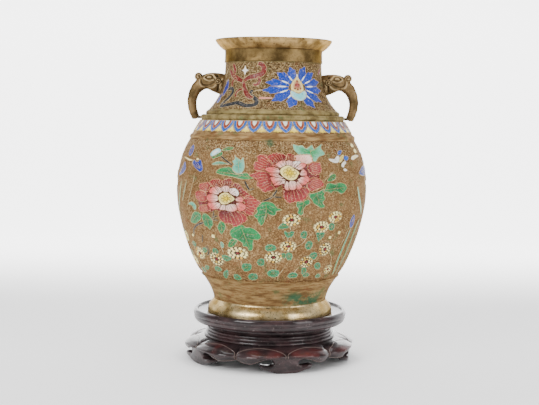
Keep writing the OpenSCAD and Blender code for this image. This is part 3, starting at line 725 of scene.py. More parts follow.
def skirt_piece(index):
    """One fifth of the skirt: sections swept from mitre to mitre, a hair short, its ends fanned shut."""
    steps = SKIRT_STEPS
    t, rows = skirt_rows(steps)
    sector = 2 * math.pi / FEET
    a = math.radians(FOOT_TURN) + sector * index + np.clip(t * sector, 0.0004, sector - 0.0004)
    r, z = rows[..., 0], rows[..., 1]
    m = len(rows)
    points = turned(r, a, z)
    hubs = turned(70, a[[0, -1]], 19)
    ends = [fan(m * steps, np.arange(m) * steps, flip=True),
            fan(m * steps + 1, np.arange(m) * steps + steps - 1)]
    # heart marks the middle of each petal's upper bulge, which the wood paints redder as painted light
    heart = np.abs(np.sin(2 * np.pi * t))[None] * np.exp(-((np.arange(m) - 11) / 5.0) ** 2)[:, None]
    tint = np.ones((m * steps + 2, 3))
    tint[:-2, 0] += 1.6 * heart.ravel()
    shape = Shape()
    shape.add(join(points.reshape(-1, 3), hubs), [grid_faces(m, steps, loop=True, flip=True), *ends], tint)
    # a bead round each petal: along its top, down the valley, back under its lip and up the mitre
    inner, shoulder, lip = 2 + 4, 2 + 10, 2 + 20
    for start, stop in ((1, steps // 2 - 1), (steps // 2 + 1, steps - 2)):
        cols = np.arange(start, stop + 1)
        rise = np.sin(np.pi * (cols - start) / (stop - start)) ** 0.5
        at = shoulder - (shoulder - inner) * rise
        row, share = at.astype(int), (at % 1)[:, None]
        arch = points[row, cols] * (1 - share) + points[np.minimum(row + 1, lip), cols] * share
        path = join(arch[:-1], points[shoulder:lip, stop], points[lip, start + 1:stop + 1][::-1],
                    points[shoulder + 1:lip + 1, start][::-1])
        bead_round(shape, path, BEAD_RADIUS)
    return shape


def bead_round(shape, path, radius):
    """Thin round bead along a closed path in space, half sunk in the petal it borders."""
    p = np.asarray(path, float)
    along = np.roll(p, -1, 0) - np.roll(p, 1, 0)
    along /= np.linalg.norm(along, axis=1)[:, None]
    level = p * (1, 1, 0)
    out = p - level / np.linalg.norm(level, axis=1)[:, None] * 78 - (0, 0, 17)
    side = np.cross(along, out)
    side /= np.linalg.norm(side, axis=1)[:, None]
    out = np.cross(side, along)
    a = around(BEAD_SIDES)[None, :, None]
    points = p[:, None] + radius * (np.cos(a) * side[:, None] + np.sin(a) * out[:, None])
    # the tint's third part marks the bead, which the wood paints pale as wear and painted highlight
    shape.add(points, grid_faces(len(p), BEAD_SIDES, wrap=True, loop=True, flip=True), (1, 1, 2))


def foot_half(shape, turn, side):
    """Half of a cloud foot: its outline stands on the edge's plane and goes back 10.5 mm, corners eased."""
    p = FOOT_CURVES * (side, 1)
    p = p if side > 0 else p[::-1]
    depths = np.array([79.5, 80.3, 89.2, 90.0])
    pull = np.array([0.7, 0.0, 0.0, 0.7])
    inward = headings(p, True)[1]
    inward[np.abs(p[:, 0]) <= 1.001] = 0
    rings = p[None] + inward[None] * pull[:, None, None]
    rings[..., 1] = np.maximum(rings[..., 1], 0)
    flat_x = np.where(np.abs(rings[..., 0]) <= 1.7, side * 0.03, rings[..., 0])
    a = math.radians(turn)
    out = depths[:, None]
    points = np.stack([flat_x * math.cos(a) + out * math.sin(a), flat_x * math.sin(a) - out * math.cos(a),
                       rings[..., 1]], -1)
    m = len(p)
    shape.add(points, [grid_faces(4, m, wrap=True), np.arange(m)[::-1][None], (3 * m + np.arange(m))[None]])


for index in range(FEET):
    piece = skirt_piece(index)
    foot_half(piece, FOOT_TURN + 360 / FEET * index, 1)
    foot_half(piece, FOOT_TURN + 360 / FEET * (index + 1), -1)
    piece.build(f"skirt_petals_{index + 1}", WOOD, "stand", (f"skirt_segment_{index + 1}",), "rosewood", 50)


# ---- beast-head handles -------------------------------------------------------------
HANDLE = [(50, 302.9, 12.0, 8.2), (56, 304.2, 11.6, 8.4), (63, 306.0, 10.8, 8.6), (70, 307.2, 9.4, 8.2),
          (76, 306.2, 8.0, 7.4), (81.4, 302.8, 6.9, 6.6), (86.6, 296.4, 5.9, 6.0), (89.6, 286.5, 5.2, 5.6),
          (88.9, 277, 4.8, 5.1), (86.7, 270.4, 4.5, 4.7), (85.3, 267.2, 4.3, 4.5), (84.6, 265.8, 4.1, 4.3)]
# ridges and creases on the cheeks, in side view: (height, width, (x, z) knots)
CARVING = [
    (1.0, 1.0, [(66.4, 314.6), (64.4, 311.6), (61.6, 309.2), (58, 308.4), (55.6, 309.6)]),
    (0.9, 0.8, [(66.8, 314.2), (70, 314.6), (73.6, 313.6), (76, 311.6)]),
    (-0.8, 0.7, [(66.6, 312.4), (69, 313.3), (72.6, 312.8), (74.6, 311.4)]),
    (0.9, 1.1, [(68.6, 311.4), (70.4, 312), (72.2, 311.4)]),
    (-0.7, 0.7, [(67, 310.8), (69.6, 309.4), (72.4, 309.8), (74.8, 311)]),
    (0.7, 0.9, [(65.6, 308.6), (69, 307.8), (73, 308.2), (76.4, 310.2)]),
    (-0.7, 0.9, [(79.4, 308.8), (79.2, 305.6), (77.6, 303.4), (75.4, 302.8)]),
    (0.6, 1.0, [(81.2, 308.6), (81, 304.8), (79, 301.6), (75.6, 300.6)]),
    (-0.6, 0.9, [(65.4, 305.6), (69.4, 303.4), (74, 302.6)]),
    (0.6, 1.3, [(62.4, 303.6), (66, 300.4), (71, 299.6)]),
    (-0.8, 0.9, [(61.6, 313.6), (60.4, 310.4), (61.4, 306.4), (60.2, 302), (61.2, 297)]),
    (0.5, 1.1, [(56.6, 301), (58.2, 297.6), (58.8, 294)]),
    (0.6, 1.0, [(57, 305), (58.6, 302.4), (59.2, 300)]),
]
TRUNK_RINGS = np.linspace(0.50, 0.93, 13)


def swelled(t, power):
    """A power of the size of t that keeps its sign, which squares off a circle's sine or cosine."""
    return np.sign(t) * np.abs(t) ** power


def gap_to_path(x, z, knots):
    """Shortest distance from each (x, z) to a smooth path, taken at closely spaced places on it."""
    path = curve(knots, 8)
    return np.sqrt(((x[..., None] - path[:, 0]) ** 2 + (z[..., None] - path[:, 1]) ** 2).min(-1))


def handle(side, name, node):
    """Superellipse sections carried along the head and trunk, pushed out or in near each carved line."""
    n, rows_per = 64, 14
    path = curve(HANDLE, rows_per)
    across = headings(path[:, :2])[1]
    a = around(n)
    c, s = swelled(np.cos(a), 0.84), swelled(np.sin(a), 0.84)
    x = path[:, :1] + across[:, :1] * path[:, 2:3] * c
    z = path[:, 1:2] + across[:, 1:] * path[:, 2:3] * c
    y = path[:, 3:4] * s
    along = np.linspace(0, 1, len(path))[:, None]
    # brow narrows towards the crest, and the cheeks swell a little
    cheek = np.abs(s) ** 0.7
    lift = sum(amp * np.exp(-(gap_to_path(x, z, knots) / width) ** 2) for amp, width,
               knots in CARVING) * cheek
    # shade holds the carving's height, which the handle bronze darkens in the hollows as painted shade
    shade = np.clip(0.5 + lift * 0.55, 0, 1)
    rings = sum(np.exp(-((along - k) / 0.006) ** 2) for k in TRUNK_RINGS)
    folds = 0.25 * np.sin(along * 90) * np.clip(c, 0, 1) * (along > 0.45)
    lift = lift - 0.34 * rings * np.clip(0.4 - c, 0, 1) + folds
    y = y + lift * np.sign(s) * 0.85
    x = x + across[:, :1] * lift * c * 0.5
    z = z + across[:, 1:] * lift * c * 0.5
    # the root and the tip are sunk into the wall and never come through it
    r = np.hypot(x, y)
    least = radius_at(z) - 1.3
    grow = np.maximum(1, least / np.maximum(r, 1e-6))
    x, y, z = x * grow, y * grow, np.maximum(z, HANDLE_LOW + 0.1)
    points = np.stack([x * side, y * side, z], -1)
    m = len(path)
    ends = np.array([points[0].mean(0), points[-1].mean(0)])
    cap, tip = fan(m * n, np.arange(n)), fan(m * n + 1, (m - 1) * n + np.arange(n), flip=True)
    shape = Shape()
    shape.add(join(points.reshape(-1, 3), ends), [grid_faces(m, n, wrap=True, flip=True), cap, tip],
              rise=np.append(shade.ravel(), [0.5, 0.5]))
    scroll_disc(shape, side, (82.6, 312.3), 4.5, 0, 4.7, 1.75)
    for cheek_side in (-1, 1):
        scroll_disc(shape, side, (60.6, 307.4), 3.9, cheek_side * 7.6, 2.0, 1.6)
    shape.build(name, HANDLE_BRONZE, "vase", (node,), "bronze", 0)


def scroll_disc(shape, side, centre, radius, y_mid, half, pitch):
    """Rolled curl: a fat disc on a cross axis, its two cheeks cut by one spiral groove of the given pitch."""
    m, n = 34, 48
    b = np.linspace(0, np.pi, m)[1:-1]
    a = around(n)
    ring = np.abs(np.sin(b)) ** 0.45
    across = swelled(np.cos(b), 0.6)
    out = ring[:, None] * radius
    groove = np.cos(2 * np.pi * out / pitch - a[None]) * np.clip(np.abs(across[:, None]) * 3 - 1.6, 0, 1)
    y = y_mid + across[:, None] * half + np.sign(across[:, None]) * groove * 0.42
    x = centre[0] + out * np.cos(a)
    z = centre[1] + out * np.sin(a)
    points = np.stack([x * side, y * side, z], -1)
    rows = len(b)
    poles = np.array([(centre[0] * side, (y_mid + half) * side, centre[1]),
                      (centre[0] * side, (y_mid - half) * side, centre[1])])
    top, low = fan(rows * n, np.arange(n), flip=True), fan(rows * n + 1, (rows - 1) * n + np.arange(n))
    # the groove's depth goes with the points, and the handle bronze darkens its troughs as painted shade
    shape.add(join(points.reshape(-1, 3), poles), [grid_faces(rows, n, wrap=True), top, low],
              rise=np.append(np.clip(0.52 + groove * 0.4, 0, 1).ravel(), [0.6, 0.6]))


for side, name, node in ((-1, "beast_handle_left", "handle_left"),
                         (1, "beast_handle_right", "handle_right")):
    handle(side, name, node)

# ---- enamel picture ------------------------------------------------------------------
RED, RED_EDGE, RED_DARK = rgb(112, 34, 36), rgb(154, 70, 70), rgb(86, 24, 28)
PINK, PINK_PALE, BLUSH = rgb(218, 116, 112, 0.9), rgb(236, 172, 160), rgb(255, 222, 210, 1.0)
YELLOW, CREAM, CREAM_DEEP = rgb(255, 226, 104), rgb(255, 240, 182, 0.96), rgb(234, 190, 118)
LEAF, LEAF_PALE, LEAF_DEEP = rgb(40, 146, 96), rgb(150, 214, 186), rgb(18, 100, 66)
TEAL, TEAL_PALE = rgb(70, 160, 136), rgb(140, 200, 176)
BLUE, BLUE_PALE, BLUE_DEEP = rgb(4, 66, 160), rgb(66, 112, 196), rgb(4, 36, 116)
WHITE, ICE = rgb(250, 250, 244, 0.95), rgb(150, 232, 240)
SLATE_DARK = rgb(34, 38, 42)
BRICK, BRICK_PALE = rgb(110, 42, 30), rgb(170, 84, 68)
OLIVE, RUST = rgb(34, 26, 14), rgb(116, 34, 30)
DARK_LINE, PALE_LINE, VEIN = (0.24, 0.15, 0.13), (1.3, 0.95, 0.9), (0.62, 0.7, 0.52)

wires = Shape()
enamels = {}


def fill_of(node):
    """The enamel gathered so far for a node of the frame."""
    return enamels.setdefault(node, Shape())


def shifted(points, turn):
    """The same (turn, height) places, moved round by a turn."""
    return [(a + turn, z) for a, z in points]


def vary(colour, amount=0.07):
    """The same colour a little lighter or darker, as each firing comes out."""
    return colour * (1 + rng.uniform(-amount, amount, 3) * 0.4 + rng.uniform(-amount, amount))


# peony: hub, outer petals, inner petals, seed cells; each petal may name its own tones
PEONIES = [
    dict(hub=(10, 211), outer=[
        [(-8.5, 224), (-9, 228), (-7, 230), (-4, 229.5), (-3, 227), (0, 222), (-2, 216), (-9, 214),
         (-10.5, 217), (-10.5, 221)],
        [(-3, 227), (-1, 230.5), (3, 232), (7, 230.5), (8.5, 228), (7, 223), (3, 220), (0, 221)],
        [(8.5, 228), (9.5, 231.5), (12, 231), (13.5, 229), (14, 226), (12, 223), (8, 223)],
        [(13.5, 229), (17, 230), (20, 230.5), (23, 230), (24, 227), (24, 223), (21, 221), (17, 222),
         (14, 224)],
        [(24, 222.5), (27, 222.5), (29.5, 222), (29.5, 219), (30, 215), (28, 211), (25, 210), (22, 213),
         (21, 218), (22, 221)],
        [(22, 205), (24, 207.5), (28, 206), (30, 203), (31, 199.5), (29, 197), (26, 195), (24, 193.5),
         (22, 194), (20, 198), (21, 202)],
        [(6, 196), (7, 193), (6.5, 188), (8, 184), (10, 181), (13, 182.5), (17, 183), (20, 187), (21, 191),
         (22, 194), (20, 197), (15, 197), (10, 195)],
        [(-13, 209.5), (-10, 211), (-7, 213), (-2, 212), (0, 207), (0, 200), (2, 196), (1, 195), (-4, 192),
         (-6, 195), (-8.5, 199), (-8, 203), (-9, 206), (-11, 207)],
    ], inner=[
        [(-4, 215), (-2, 217.5), (1, 218), (4, 215.5), (4.5, 212), (2, 210.5), (-1, 211.5)],
        [(-1.5, 210), (0, 212), (3, 211), (5, 208.5), (7, 206.5), (3, 207), (0, 208.5)],
        [(-1, 207), (1, 208), (5, 206.5), (8, 204.5), (4, 203.5), (2, 201), (1, 200.5), (0, 203)],
        [(1, 199.5), (3, 203), (7, 204), (7.5, 202), (5, 200), (2.5, 199)],
        [(7.5, 203), (7, 198), (8, 194.5), (9.5, 195), (9.5, 200), (9, 203)],
        [(10, 203.5), (9.5, 198), (10.5, 195), (13, 195), (14, 198), (14, 202), (12, 204)],
        [(14, 202.5), (13.5, 197), (15, 195), (17, 197), (17, 200), (15, 203)],
        [(14.5, 204.5), (17, 200), (19, 200), (21.5, 204), (22, 206), (20, 209), (17, 208), (15.5, 206.5)],
        [(16, 210), (18, 208.5), (20, 209.5), (20, 213), (18, 216), (16.5, 213)],
        [(13, 217.5), (16, 215), (19, 217.5), (20, 221), (17, 222), (14, 221)],
        [(11, 219), (12, 223), (15, 224), (17, 222.5), (15, 219), (13, 217)],
        [(8, 220), (8, 223.5), (10, 224.5), (12, 223), (11, 219)],
        [(2, 220), (5, 224), (8, 224), (8, 220), (5.5, 217.5), (4, 216.5)],
        [(-0.4, 219), (1.2, 220.2), (3.4, 218), (4, 216), (1.6, 218.2)],
    ], centre=[(4.5, 213), (5, 216), (7, 218.5), (9.5, 219.5), (12, 217.5), (14, 215), (15.8, 212),
               (15, 209.5),
               (14, 206.5), (12, 204.5), (9.5, 204.7), (7.5, 206.5), (5.5, 209)], pale_outer=3,
               white_inner=10),
    dict(hub=(-27, 184), outer=[
        [(-46, 197.5), (-42, 199), (-39, 200), (-37, 198), (-38, 194), (-40, 190), (-43, 190.5),
         (-46, 193)],
        [(-38, 200.5), (-36, 203), (-33, 203.5), (-30, 203), (-29, 200), (-30, 197), (-34, 196),
         (-37, 197)],
        [(-29.5, 202), (-27, 204), (-24, 205), (-23, 202.5), (-22, 200), (-23, 197), (-27, 196.5),
         (-30, 198)],
        [(-22, 200), (-19, 200), (-17, 197), (-15, 193), (-12.5, 189), (-15, 185), (-18, 190), (-20, 195),
         (-23, 197)],
        [(-12.5, 189), (-9, 185), (-6, 181.5), (-7.5, 178), (-9, 174), (-10, 171.5), (-11, 168), (-14, 169),
         (-16, 173), (-15, 179), (-16, 184)],
        [(-49.5, 189), (-46, 190.5), (-42, 190), (-40, 187), (-40, 182), (-42, 179.5), (-47, 180),
         (-49.5, 184)],
        [(-47, 173), (-44, 175.5), (-40, 176.5), (-38, 174), (-38, 171), (-41, 169), (-45, 168.5),
         (-47, 170.5)],
        [(-31, 171), (-32, 167), (-31.5, 163), (-29.5, 159.5), (-27, 158), (-24, 158), (-22, 155),
         (-19, 157.5), (-16, 160), (-14, 163), (-14.5, 167), (-17, 170), (-22, 172), (-28, 172)],
    ], inner=[
        [(-40, 183.5), (-39, 187), (-36, 188), (-32.5, 187), (-31.5, 183.5), (-33, 180.5), (-37, 179.5),
         (-39, 181)],
        [(-38, 190), (-37, 194), (-34, 195.5), (-31, 192.5), (-30.5, 190), (-32, 188), (-36, 188.5)],
        [(-34, 196), (-31, 196), (-29, 193), (-29, 191), (-31, 190)],
        [(-29.5, 195), (-27, 197.5), (-25, 197), (-24, 194), (-25, 191.5), (-28, 191)],
        [(-24.5, 194), (-22, 195.5), (-20, 194.5), (-18.5, 191), (-19, 187.5), (-21, 187.5), (-24, 190)],
        [(-20, 185.5), (-17.5, 187), (-16, 185), (-16.5, 181), (-19, 181.5), (-20.5, 183)],
        [(-20, 180), (-17, 180.5), (-14.5, 178), (-15, 174), (-18, 171.5), (-20, 175)],
        [(-26, 177.5), (-22, 179), (-20, 177.5), (-19.5, 173.5), (-22, 171), (-26, 171.5), (-27, 174)],
        [(-39, 178.5), (-36, 179.5), (-31, 179.5), (-30, 176.5), (-32, 173), (-36, 172), (-38.5, 174.5)],
        [(-30, 177), (-27, 177.5), (-26.5, 173), (-29, 172), (-31, 173)],
    ], centre=[(-31.5, 184), (-30.5, 187.5), (-28.5, 190), (-25.5, 190.5), (-23, 188), (-21, 185),
               (-21.2, 183),
               (-23.5, 180.5), (-26, 178.5), (-29, 178), (-30.5, 180.5)], pale_outer=-1, white_inner=4),
]


def quarter(v):
    """A flat direction turned a quarter to the left."""
    return np.array([-v[1], v[0]])


def petal(node, outline, hub, base, depth, near, far, spread, lines, tint, frill, border=0.62, fine=0.34):
    """A petal of enamel with a scalloped border, and fine raised lines that run out from the hub."""
    rim, core, centre = cell(fill_of(node), wires, outline, near, far, base=base, depth=depth, hub=hub,
                             spread=spread, n=6 if frill else 4, border=border, frill=frill, edge_tint=tint)
    start = flat([hub], centre)[0]
    out = core - start
    out /= max(np.hypot(*out), 1e-6)
    side = quarter(out)
    wide = np.ptp(rim @ side)
    long = np.ptp(rim @ out)
    for k in np.linspace(-0.34, 0.34, lines):
        mid = core + side * wide * k
        p = np.array([mid - out * long * 0.3 - side * wide * k * 0.3, mid,
                      mid + out * long * (0.34 - abs(k) * 0.35)])
        line(wires, curve(p, 3), centre, base + depth - 0.1, base + depth + 0.1, fine, tint=tint)


def flower_back(p, turn):
    """Low dark area under a whole flower: in each direction it goes nearly as far as the petals."""
    hub, = shifted([p["hub"]], turn)
    uv = np.vstack([curve(flat(shifted(o, turn), hub), 6, closed=True) for o in p["outer"] + p["inner"]])
    n, least, share = 36, 8, 0.94
    sector = ((np.arctan2(uv[:, 1], uv[:, 0]) + np.pi) / (2 * np.pi) * n).astype(int) % n
    reach = [np.hypot(*uv[sector == k].T).max() if (sector == k).any() else least for k in range(n)]
    a = around(n) + np.pi / n - np.pi
    cell(fill_of("peony_outer_petals"), wires,
         places(np.column_stack([np.cos(a), np.sin(a)]) * (np.array(reach) * share)[:, None], hub),
         RED_DARK, RED, base=-0.1, depth=0.4, n=2, border=0, centre=hub, kernel=hub)


def ellipse(mid, half_u, half_v):
    """Closed ring of flat points about mid."""
    a = around(14)
    return mid + np.column_stack([np.cos(a), np.sin(a)]) * (half_u, half_v)


STAMENS, SEED_CELLS = 26, 7


def peony(p, turn):
    """Whole flower: dark back, outer and inner petals, and a domed middle with stamens and seed cells."""
    hub, = shifted([p["hub"]], turn)
    flower_back(p, turn)
    for k, outline in enumerate(p["outer"]):
        pale = k == p["pale_outer"]
        petal("peony_outer_petals", shifted(outline, turn), hub, 0.03 * (k % 3), 0.6,
              vary(PINK_PALE if pale else RED_DARK),
              vary(BLUSH if pale else RED_EDGE, 0.05), (12, 32), 6, PALE_LINE, 1.1)
    for k, outline in enumerate(p["inner"]):
        white = k == p["white_inner"]
        petal("peony_inner_petals", shifted(outline, turn), hub, 0.42 + 0.03 * (k % 3), 0.55,
              vary(BLUSH, 0.03),
              vary(WHITE if white else PINK, 0.06), (8, 19), 3, DARK_LINE, 0.35, border=0.5, fine=0.36)
    outline = shifted(p["centre"], turn)
    rim, core, centre = cell(fill_of("peony_centres"), wires, outline, YELLOW, vary(CREAM, 0.04), base=0.75,
                             depth=0.6, n=3, border=0.7, edge_tint=DARK_LINE)
    # dark stamens run out over the inner petals
    for k in range(STAMENS):
        a = 2 * math.pi * (k + rng.uniform(-0.2, 0.2)) / STAMENS
        out = np.array([math.cos(a), math.sin(a)])
        edge = np.max((rim - core) @ out)
        long = rng.uniform(3.4, 6.4)
        line(wires, core + out * np.linspace(edge * 0.97, edge * 0.97 + long, 4)[:, None], centre, 0.85,
             1.25, 0.38, tint=DARK_LINE)
    # seed cells: a ring of small wired loops round one in the middle
    for a in around(SEED_CELLS):
        mid = core + np.ptp(rim, axis=0) * 0.25 * np.array([math.cos(a), math.sin(a)])
        line(wires, ellipse(mid, 1.9, 1.7), centre, 1.25, 1.52, 0.42, closed=True, tint=DARK_LINE)
    line(wires, ellipse(core, 1.7, 1.7), centre, 1.25, 1.55, 0.42, closed=True, tint=DARK_LINE)


# leaves: outline, then near and far tones and the two ends of the midrib
LEAVES = [
    ([(16.5, 230), (14, 234), (13, 238), (13.3, 241), (16, 239.5), (19, 240), (21.5, 236.5), (26, 240.5),
      (27, 236), (33.5, 241.5), (32, 237), (34, 231), (29, 228), (27, 224), (25, 224), (24.5, 228),
      (23, 230), (17, 230.5)], "pale", (25, 226), (24, 237)),
    ([(-22.8, 219.5), (-24, 222.5), (-22.5, 225), (-23, 228.5), (-21.5, 226.5), (-20, 225.5), (-18.5, 224),
      (-17.5, 227), (-16.7, 224), (-16, 218), (-16.5, 213), (-19, 210), (-22, 212), (-23.5, 216)], "teal",
      (-19, 211), (-20.5, 226)),
    ([(-34, 211), (-32, 214.5), (-27, 216.5), (-24, 216), (-23, 213.5), (-20, 210), (-16, 211), (-14, 211),
      (-12.5, 208), (-10.5, 206), (-13, 205), (-17, 204.7), (-22, 206.5), (-26, 207.5), (-30, 208.5),
      (-33, 209.5)], "leaf", (-12, 206.5), (-33, 211.5)),
    ([(-32.5, 233.5), (-30, 236.5), (-27, 237.2), (-24.5, 236.5), (-26, 234), (-30, 232.8)], "leaf",
     (-31.5, 234), (-25.5, 236)),
    ([(-39, 226.5), (-36, 229), (-33, 231.5), (-31.5, 231), (-32, 228), (-35, 226), (-38, 224.5)], "leaf",
     (-37.5, 226), (-32.5, 230)),
    ([(-38, 219), (-34, 221.8), (-30, 221.5), (-26, 219.5), (-29, 219), (-33, 218.7), (-36, 218)], "teal",
     (-27, 219.5), (-36.5, 219)),
    ([(33.5, 203.5), (35, 208), (37.5, 210.5), (39.8, 210), (39.5, 206), (37, 203.5)], "leaf", (35, 204.5),
     (39, 209)),
    ([(32, 196), (33, 200), (35, 201.5), (39, 200), (42, 201.5), (46, 200.5), (48.5, 198), (49, 195),
      (46.5, 191), (44, 189.5), (41.5, 191.5), (38, 193), (36, 190.8), (33, 192.5), (30.5, 192), (31, 194)],
      "leaf", (32, 194.5), (47.5, 196.5)),
    ([(21.5, 190.5), (24, 191), (28, 193), (31, 195), (31.5, 191), (31, 188.5), (32, 185), (30.5, 181),
      (32.2, 177.5), (30, 175.5), (27, 178), (24.5, 181), (23.5, 184), (22, 187)], "leaf", (26, 190),
      (30, 177.5)),
    ([(14.2, 181), (15, 183), (18, 182.5), (20, 184.5), (22, 184), (22, 180.5), (20, 178.5), (18.5, 175),
      (18.5, 170.5), (17, 168.5), (15, 171), (15.5, 175), (14.2, 178)], "leaf", (18.5, 183), (17, 170)),
    ([(-10, 177), (-8, 179.5), (-5, 182), (-2, 182.5), (1, 181), (3, 177), (6, 174), (3, 172.5), (2.5, 169),
      (0, 168.3), (-2.5, 170), (-3.5, 166), (-3.8, 162), (-5.5, 157.5), (-7.5, 160.5), (-8, 164),
      (-10, 167.5), (-8.5, 170), (-8, 173)], "leaf", (-3, 181), (-5.5, 160)),
    ([(-25.5, 147), (-25, 151), (-22.5, 154.5), (-19.5, 156.5), (-17, 157.5), (-15, 155), (-12, 155),
      (-9, 152.5), (-6.5, 148), (-6, 144.5), (-8, 142), (-10.5, 142), (-11, 137), (-11.5, 131.5),
      (-14, 130), (-15, 134), (-17.5, 134.5), (-18, 138), (-20.5, 140.5), (-24, 142.5)], "leaf", (-18, 156),
      (-13.2, 132)),
    ([(-28.3, 134), (-26.5, 139.5), (-24, 142.5), (-21, 141), (-22, 137.5), (-24.5, 133.5), (-27, 132.5)],
     "leaf", (-22.5, 141), (-26.8, 134)),
    ([(-58.5, 156.5), (-56, 162), (-54, 165.5), (-51, 168), (-48, 167.5), (-46, 164.5), (-47, 160),
      (-50, 157), (-53, 154.5), (-57, 154.8)], "leaf", (-48, 165.5), (-57, 156.5)),
    ([(-45, 164), (-43, 167), (-40.5, 166), (-38.5, 163.5), (-37, 160), (-37, 155.5), (-38.5, 153),
      (-40, 150), (-42, 152.5), (-44.5, 154), (-44.5, 158), (-45.5, 161)], "leaf", (-42, 165.5),
      (-40, 152)),
    ([(-58, 174.5), (-56, 177.3), (-52.5, 177.5), (-50, 174.5), (-50, 171), (-51.5, 169.5), (-53, 171.5),
      (-54, 174)], "teal", (-51, 171), (-57, 175)),
    ([(-34, 153), (-32.5, 157.5), (-30.5, 160.5), (-28.5, 158), (-28, 153.5), (-29.5, 149.5), (-31.5, 146),
      (-33, 149)], "leaf", (-31, 159), (-31.2, 147.5)),
    ([(-33.8, 136), (-32.5, 138), (-31, 136), (-31.5, 132), (-33, 131.5)], "teal", (-32.4, 137),
     (-32.3, 132.5)),
]
LEAF_TONES = {"leaf": (LEAF_DEEP, LEAF), "pale": (LEAF, LEAF_PALE), "teal": (TEAL, TEAL_PALE)}


def leaf(outline, tone, root, tip, turn):
    """Leaf area with a raised midrib and side ribs that curve out to its points."""
    near, far = LEAF_TONES[tone]
    core, centre = cell(fill_of("peony_leaves"), wires, shifted(outline, turn), vary(near), vary(far),
                        depth=0.5, border=0.7)[1:]
    a, b = flat(shifted([root, tip], turn), centre)
    key = flat(shifted(outline, turn), centre)
    rib = b - a
    long = np.hypot(*rib)
    rib /= long
    bow = (core - (a + b) / 2) * 0.5
    spine = curve([a, (a + b) / 2 + bow, b], 5)
    line(wires, spine, centre, 0.4, 0.64, 0.55, tint=VEIN)
    share = np.clip((key - a) @ rib / long, 0, 1)
    step = 2 if len(key) > 9 else 1
    for point, t in zip(key[::step], share[::step]):
        if 0.15 < t < 0.95:
            start = max(t - 0.22, 0.05)
            foot = a + rib * long * start + bow * 4 * start * (1.22 - t)
            end = foot + (point - foot) * 0.8
            if np.hypot(*(end - foot)) > 1.6:
                line(wires, curve([foot, (foot + end) / 2 + rib * 0.35, end], 3), centre, 0.38, 0.6, 0.38,
                     tint=VEIN)


SMALL_LEAVES = [
    [(4, 154), (5, 158), (7.5, 161), (9.5, 158.5), (10.5, 155.5), (8, 154.5)],
    [(7.7, 150.5), (8.5, 152), (10.5, 150.5), (12.5, 152), (14, 150.5), (13, 146), (11.5, 144.8),
     (9.5, 145.2)],
    [(18, 147), (18.5, 150.5), (20.3, 152), (22, 150.5), (22.3, 147), (21.5, 143.5), (19, 144.5)],
    [(28.3, 149.5), (31, 149.8), (34.5, 149.5), (34.3, 145.5), (32.5, 142), (31, 140), (29.5, 143.5)],
    [(37, 153), (37, 158), (39, 159.3), (41.3, 157), (41.3, 153), (39.5, 151)],
    [(22, 136), (23, 140), (25, 141), (27, 138.5), (27, 134.5), (25.5, 131.5), (23, 132.5)],
    [(26.5, 126), (28.5, 128.5), (31.5, 127.5), (32.5, 124), (31, 120.5), (28.5, 120.5), (26.5, 123)],
    [(32, 114), (34, 116.8), (36.5, 115.5), (38, 112), (37.5, 109), (34, 109.5)],
    [(36.5, 100.5), (38, 103.5), (40.5, 102.5), (42, 99.5), (39, 98.5)],
    [(22.5, 110.5), (24, 112), (26, 111), (27, 107), (25.5, 104.5), (23.5, 104.5)],
    [(25, 105), (28, 105.5), (30.5, 103), (29, 101), (25.5, 101.3)],
    [(13, 103.5), (15, 106.5), (18, 106.5), (20.5, 104), (20, 101), (16, 100.3), (13.5, 101)],
    [(-2.5, 106), (0, 109.5), (3.5, 110), (6, 108.5), (6.3, 104.5), (4, 101.5), (-0.5, 102)],
    [(-9, 119), (-7, 122), (-4.5, 121.5), (-4, 118), (-4.5, 114.5), (-7.5, 113.8), (-9, 116)],
    [(-20.5, 112), (-19, 115.5), (-16, 116), (-13.5, 115.5), (-13, 112), (-14.5, 108.5), (-18, 106.5),
     (-20, 108.5)],
    [(-17, 100.5), (-15.5, 104), (-12, 105.3), (-9.5, 103.5), (-9.5, 99.5), (-12, 97.5), (-15.5, 97.5)],
    [(-29.3, 99), (-28, 102.5), (-26, 103), (-23.5, 101.5), (-22.8, 98), (-25, 96.2), (-28.5, 96.3)],
    [(-39, 98.5), (-38, 102.5), (-35.5, 105.5), (-32.5, 107), (-33, 102.5), (-35.5, 98), (-37.5, 96.3)],
    [(-45.5, 106), (-43.5, 109.5), (-40, 109.3), (-38, 106.5), (-40, 104.3), (-44, 103.7)],
    [(-35, 121.5), (-33, 123.5), (-29.5, 123), (-27, 120.3), (-29.5, 117.5), (-33, 117)],
    [(-42, 126), (-40.5, 129.8), (-37.5, 129.5), (-36.5, 126), (-38, 123.5), (-40.5, 124)],
    [(-53.5, 125.5), (-50.5, 129), (-47.5, 129), (-47, 126), (-49.5, 123.5), (-52.5, 122.5)],
    [(-65, 131), (-62, 134.5), (-59, 132.5), (-59.5, 129), (-63, 128.5)],
    [(-59, 104.5), (-56, 108), (-52, 108.5), (-52.5, 105.5), (-56.5, 103)],
    [(-3.5, 134.5), (-2, 137.5), (1, 137.5), (3, 135.5), (3.3, 132), (0.5, 130.3), (-3, 130.8)],
    [(9.8, 126.5), (11, 129), (13.5, 128), (14.5, 124.5), (14, 121), (12, 120.5), (10.5, 122)],
    [(6.8, 127), (8.5, 128.5), (10, 126), (9.5, 122.5), (8, 123.5)],
    [(-78, 118), (-76, 122), (-73, 123), (-71, 120), (-73, 117), (-76, 116)],
    [(-80, 140), (-78, 144), (-75, 145), (-72, 142), (-75, 139)],
    [(-66, 101), (-64, 105), (-61, 105), (-60, 101), (-63, 99)],
]
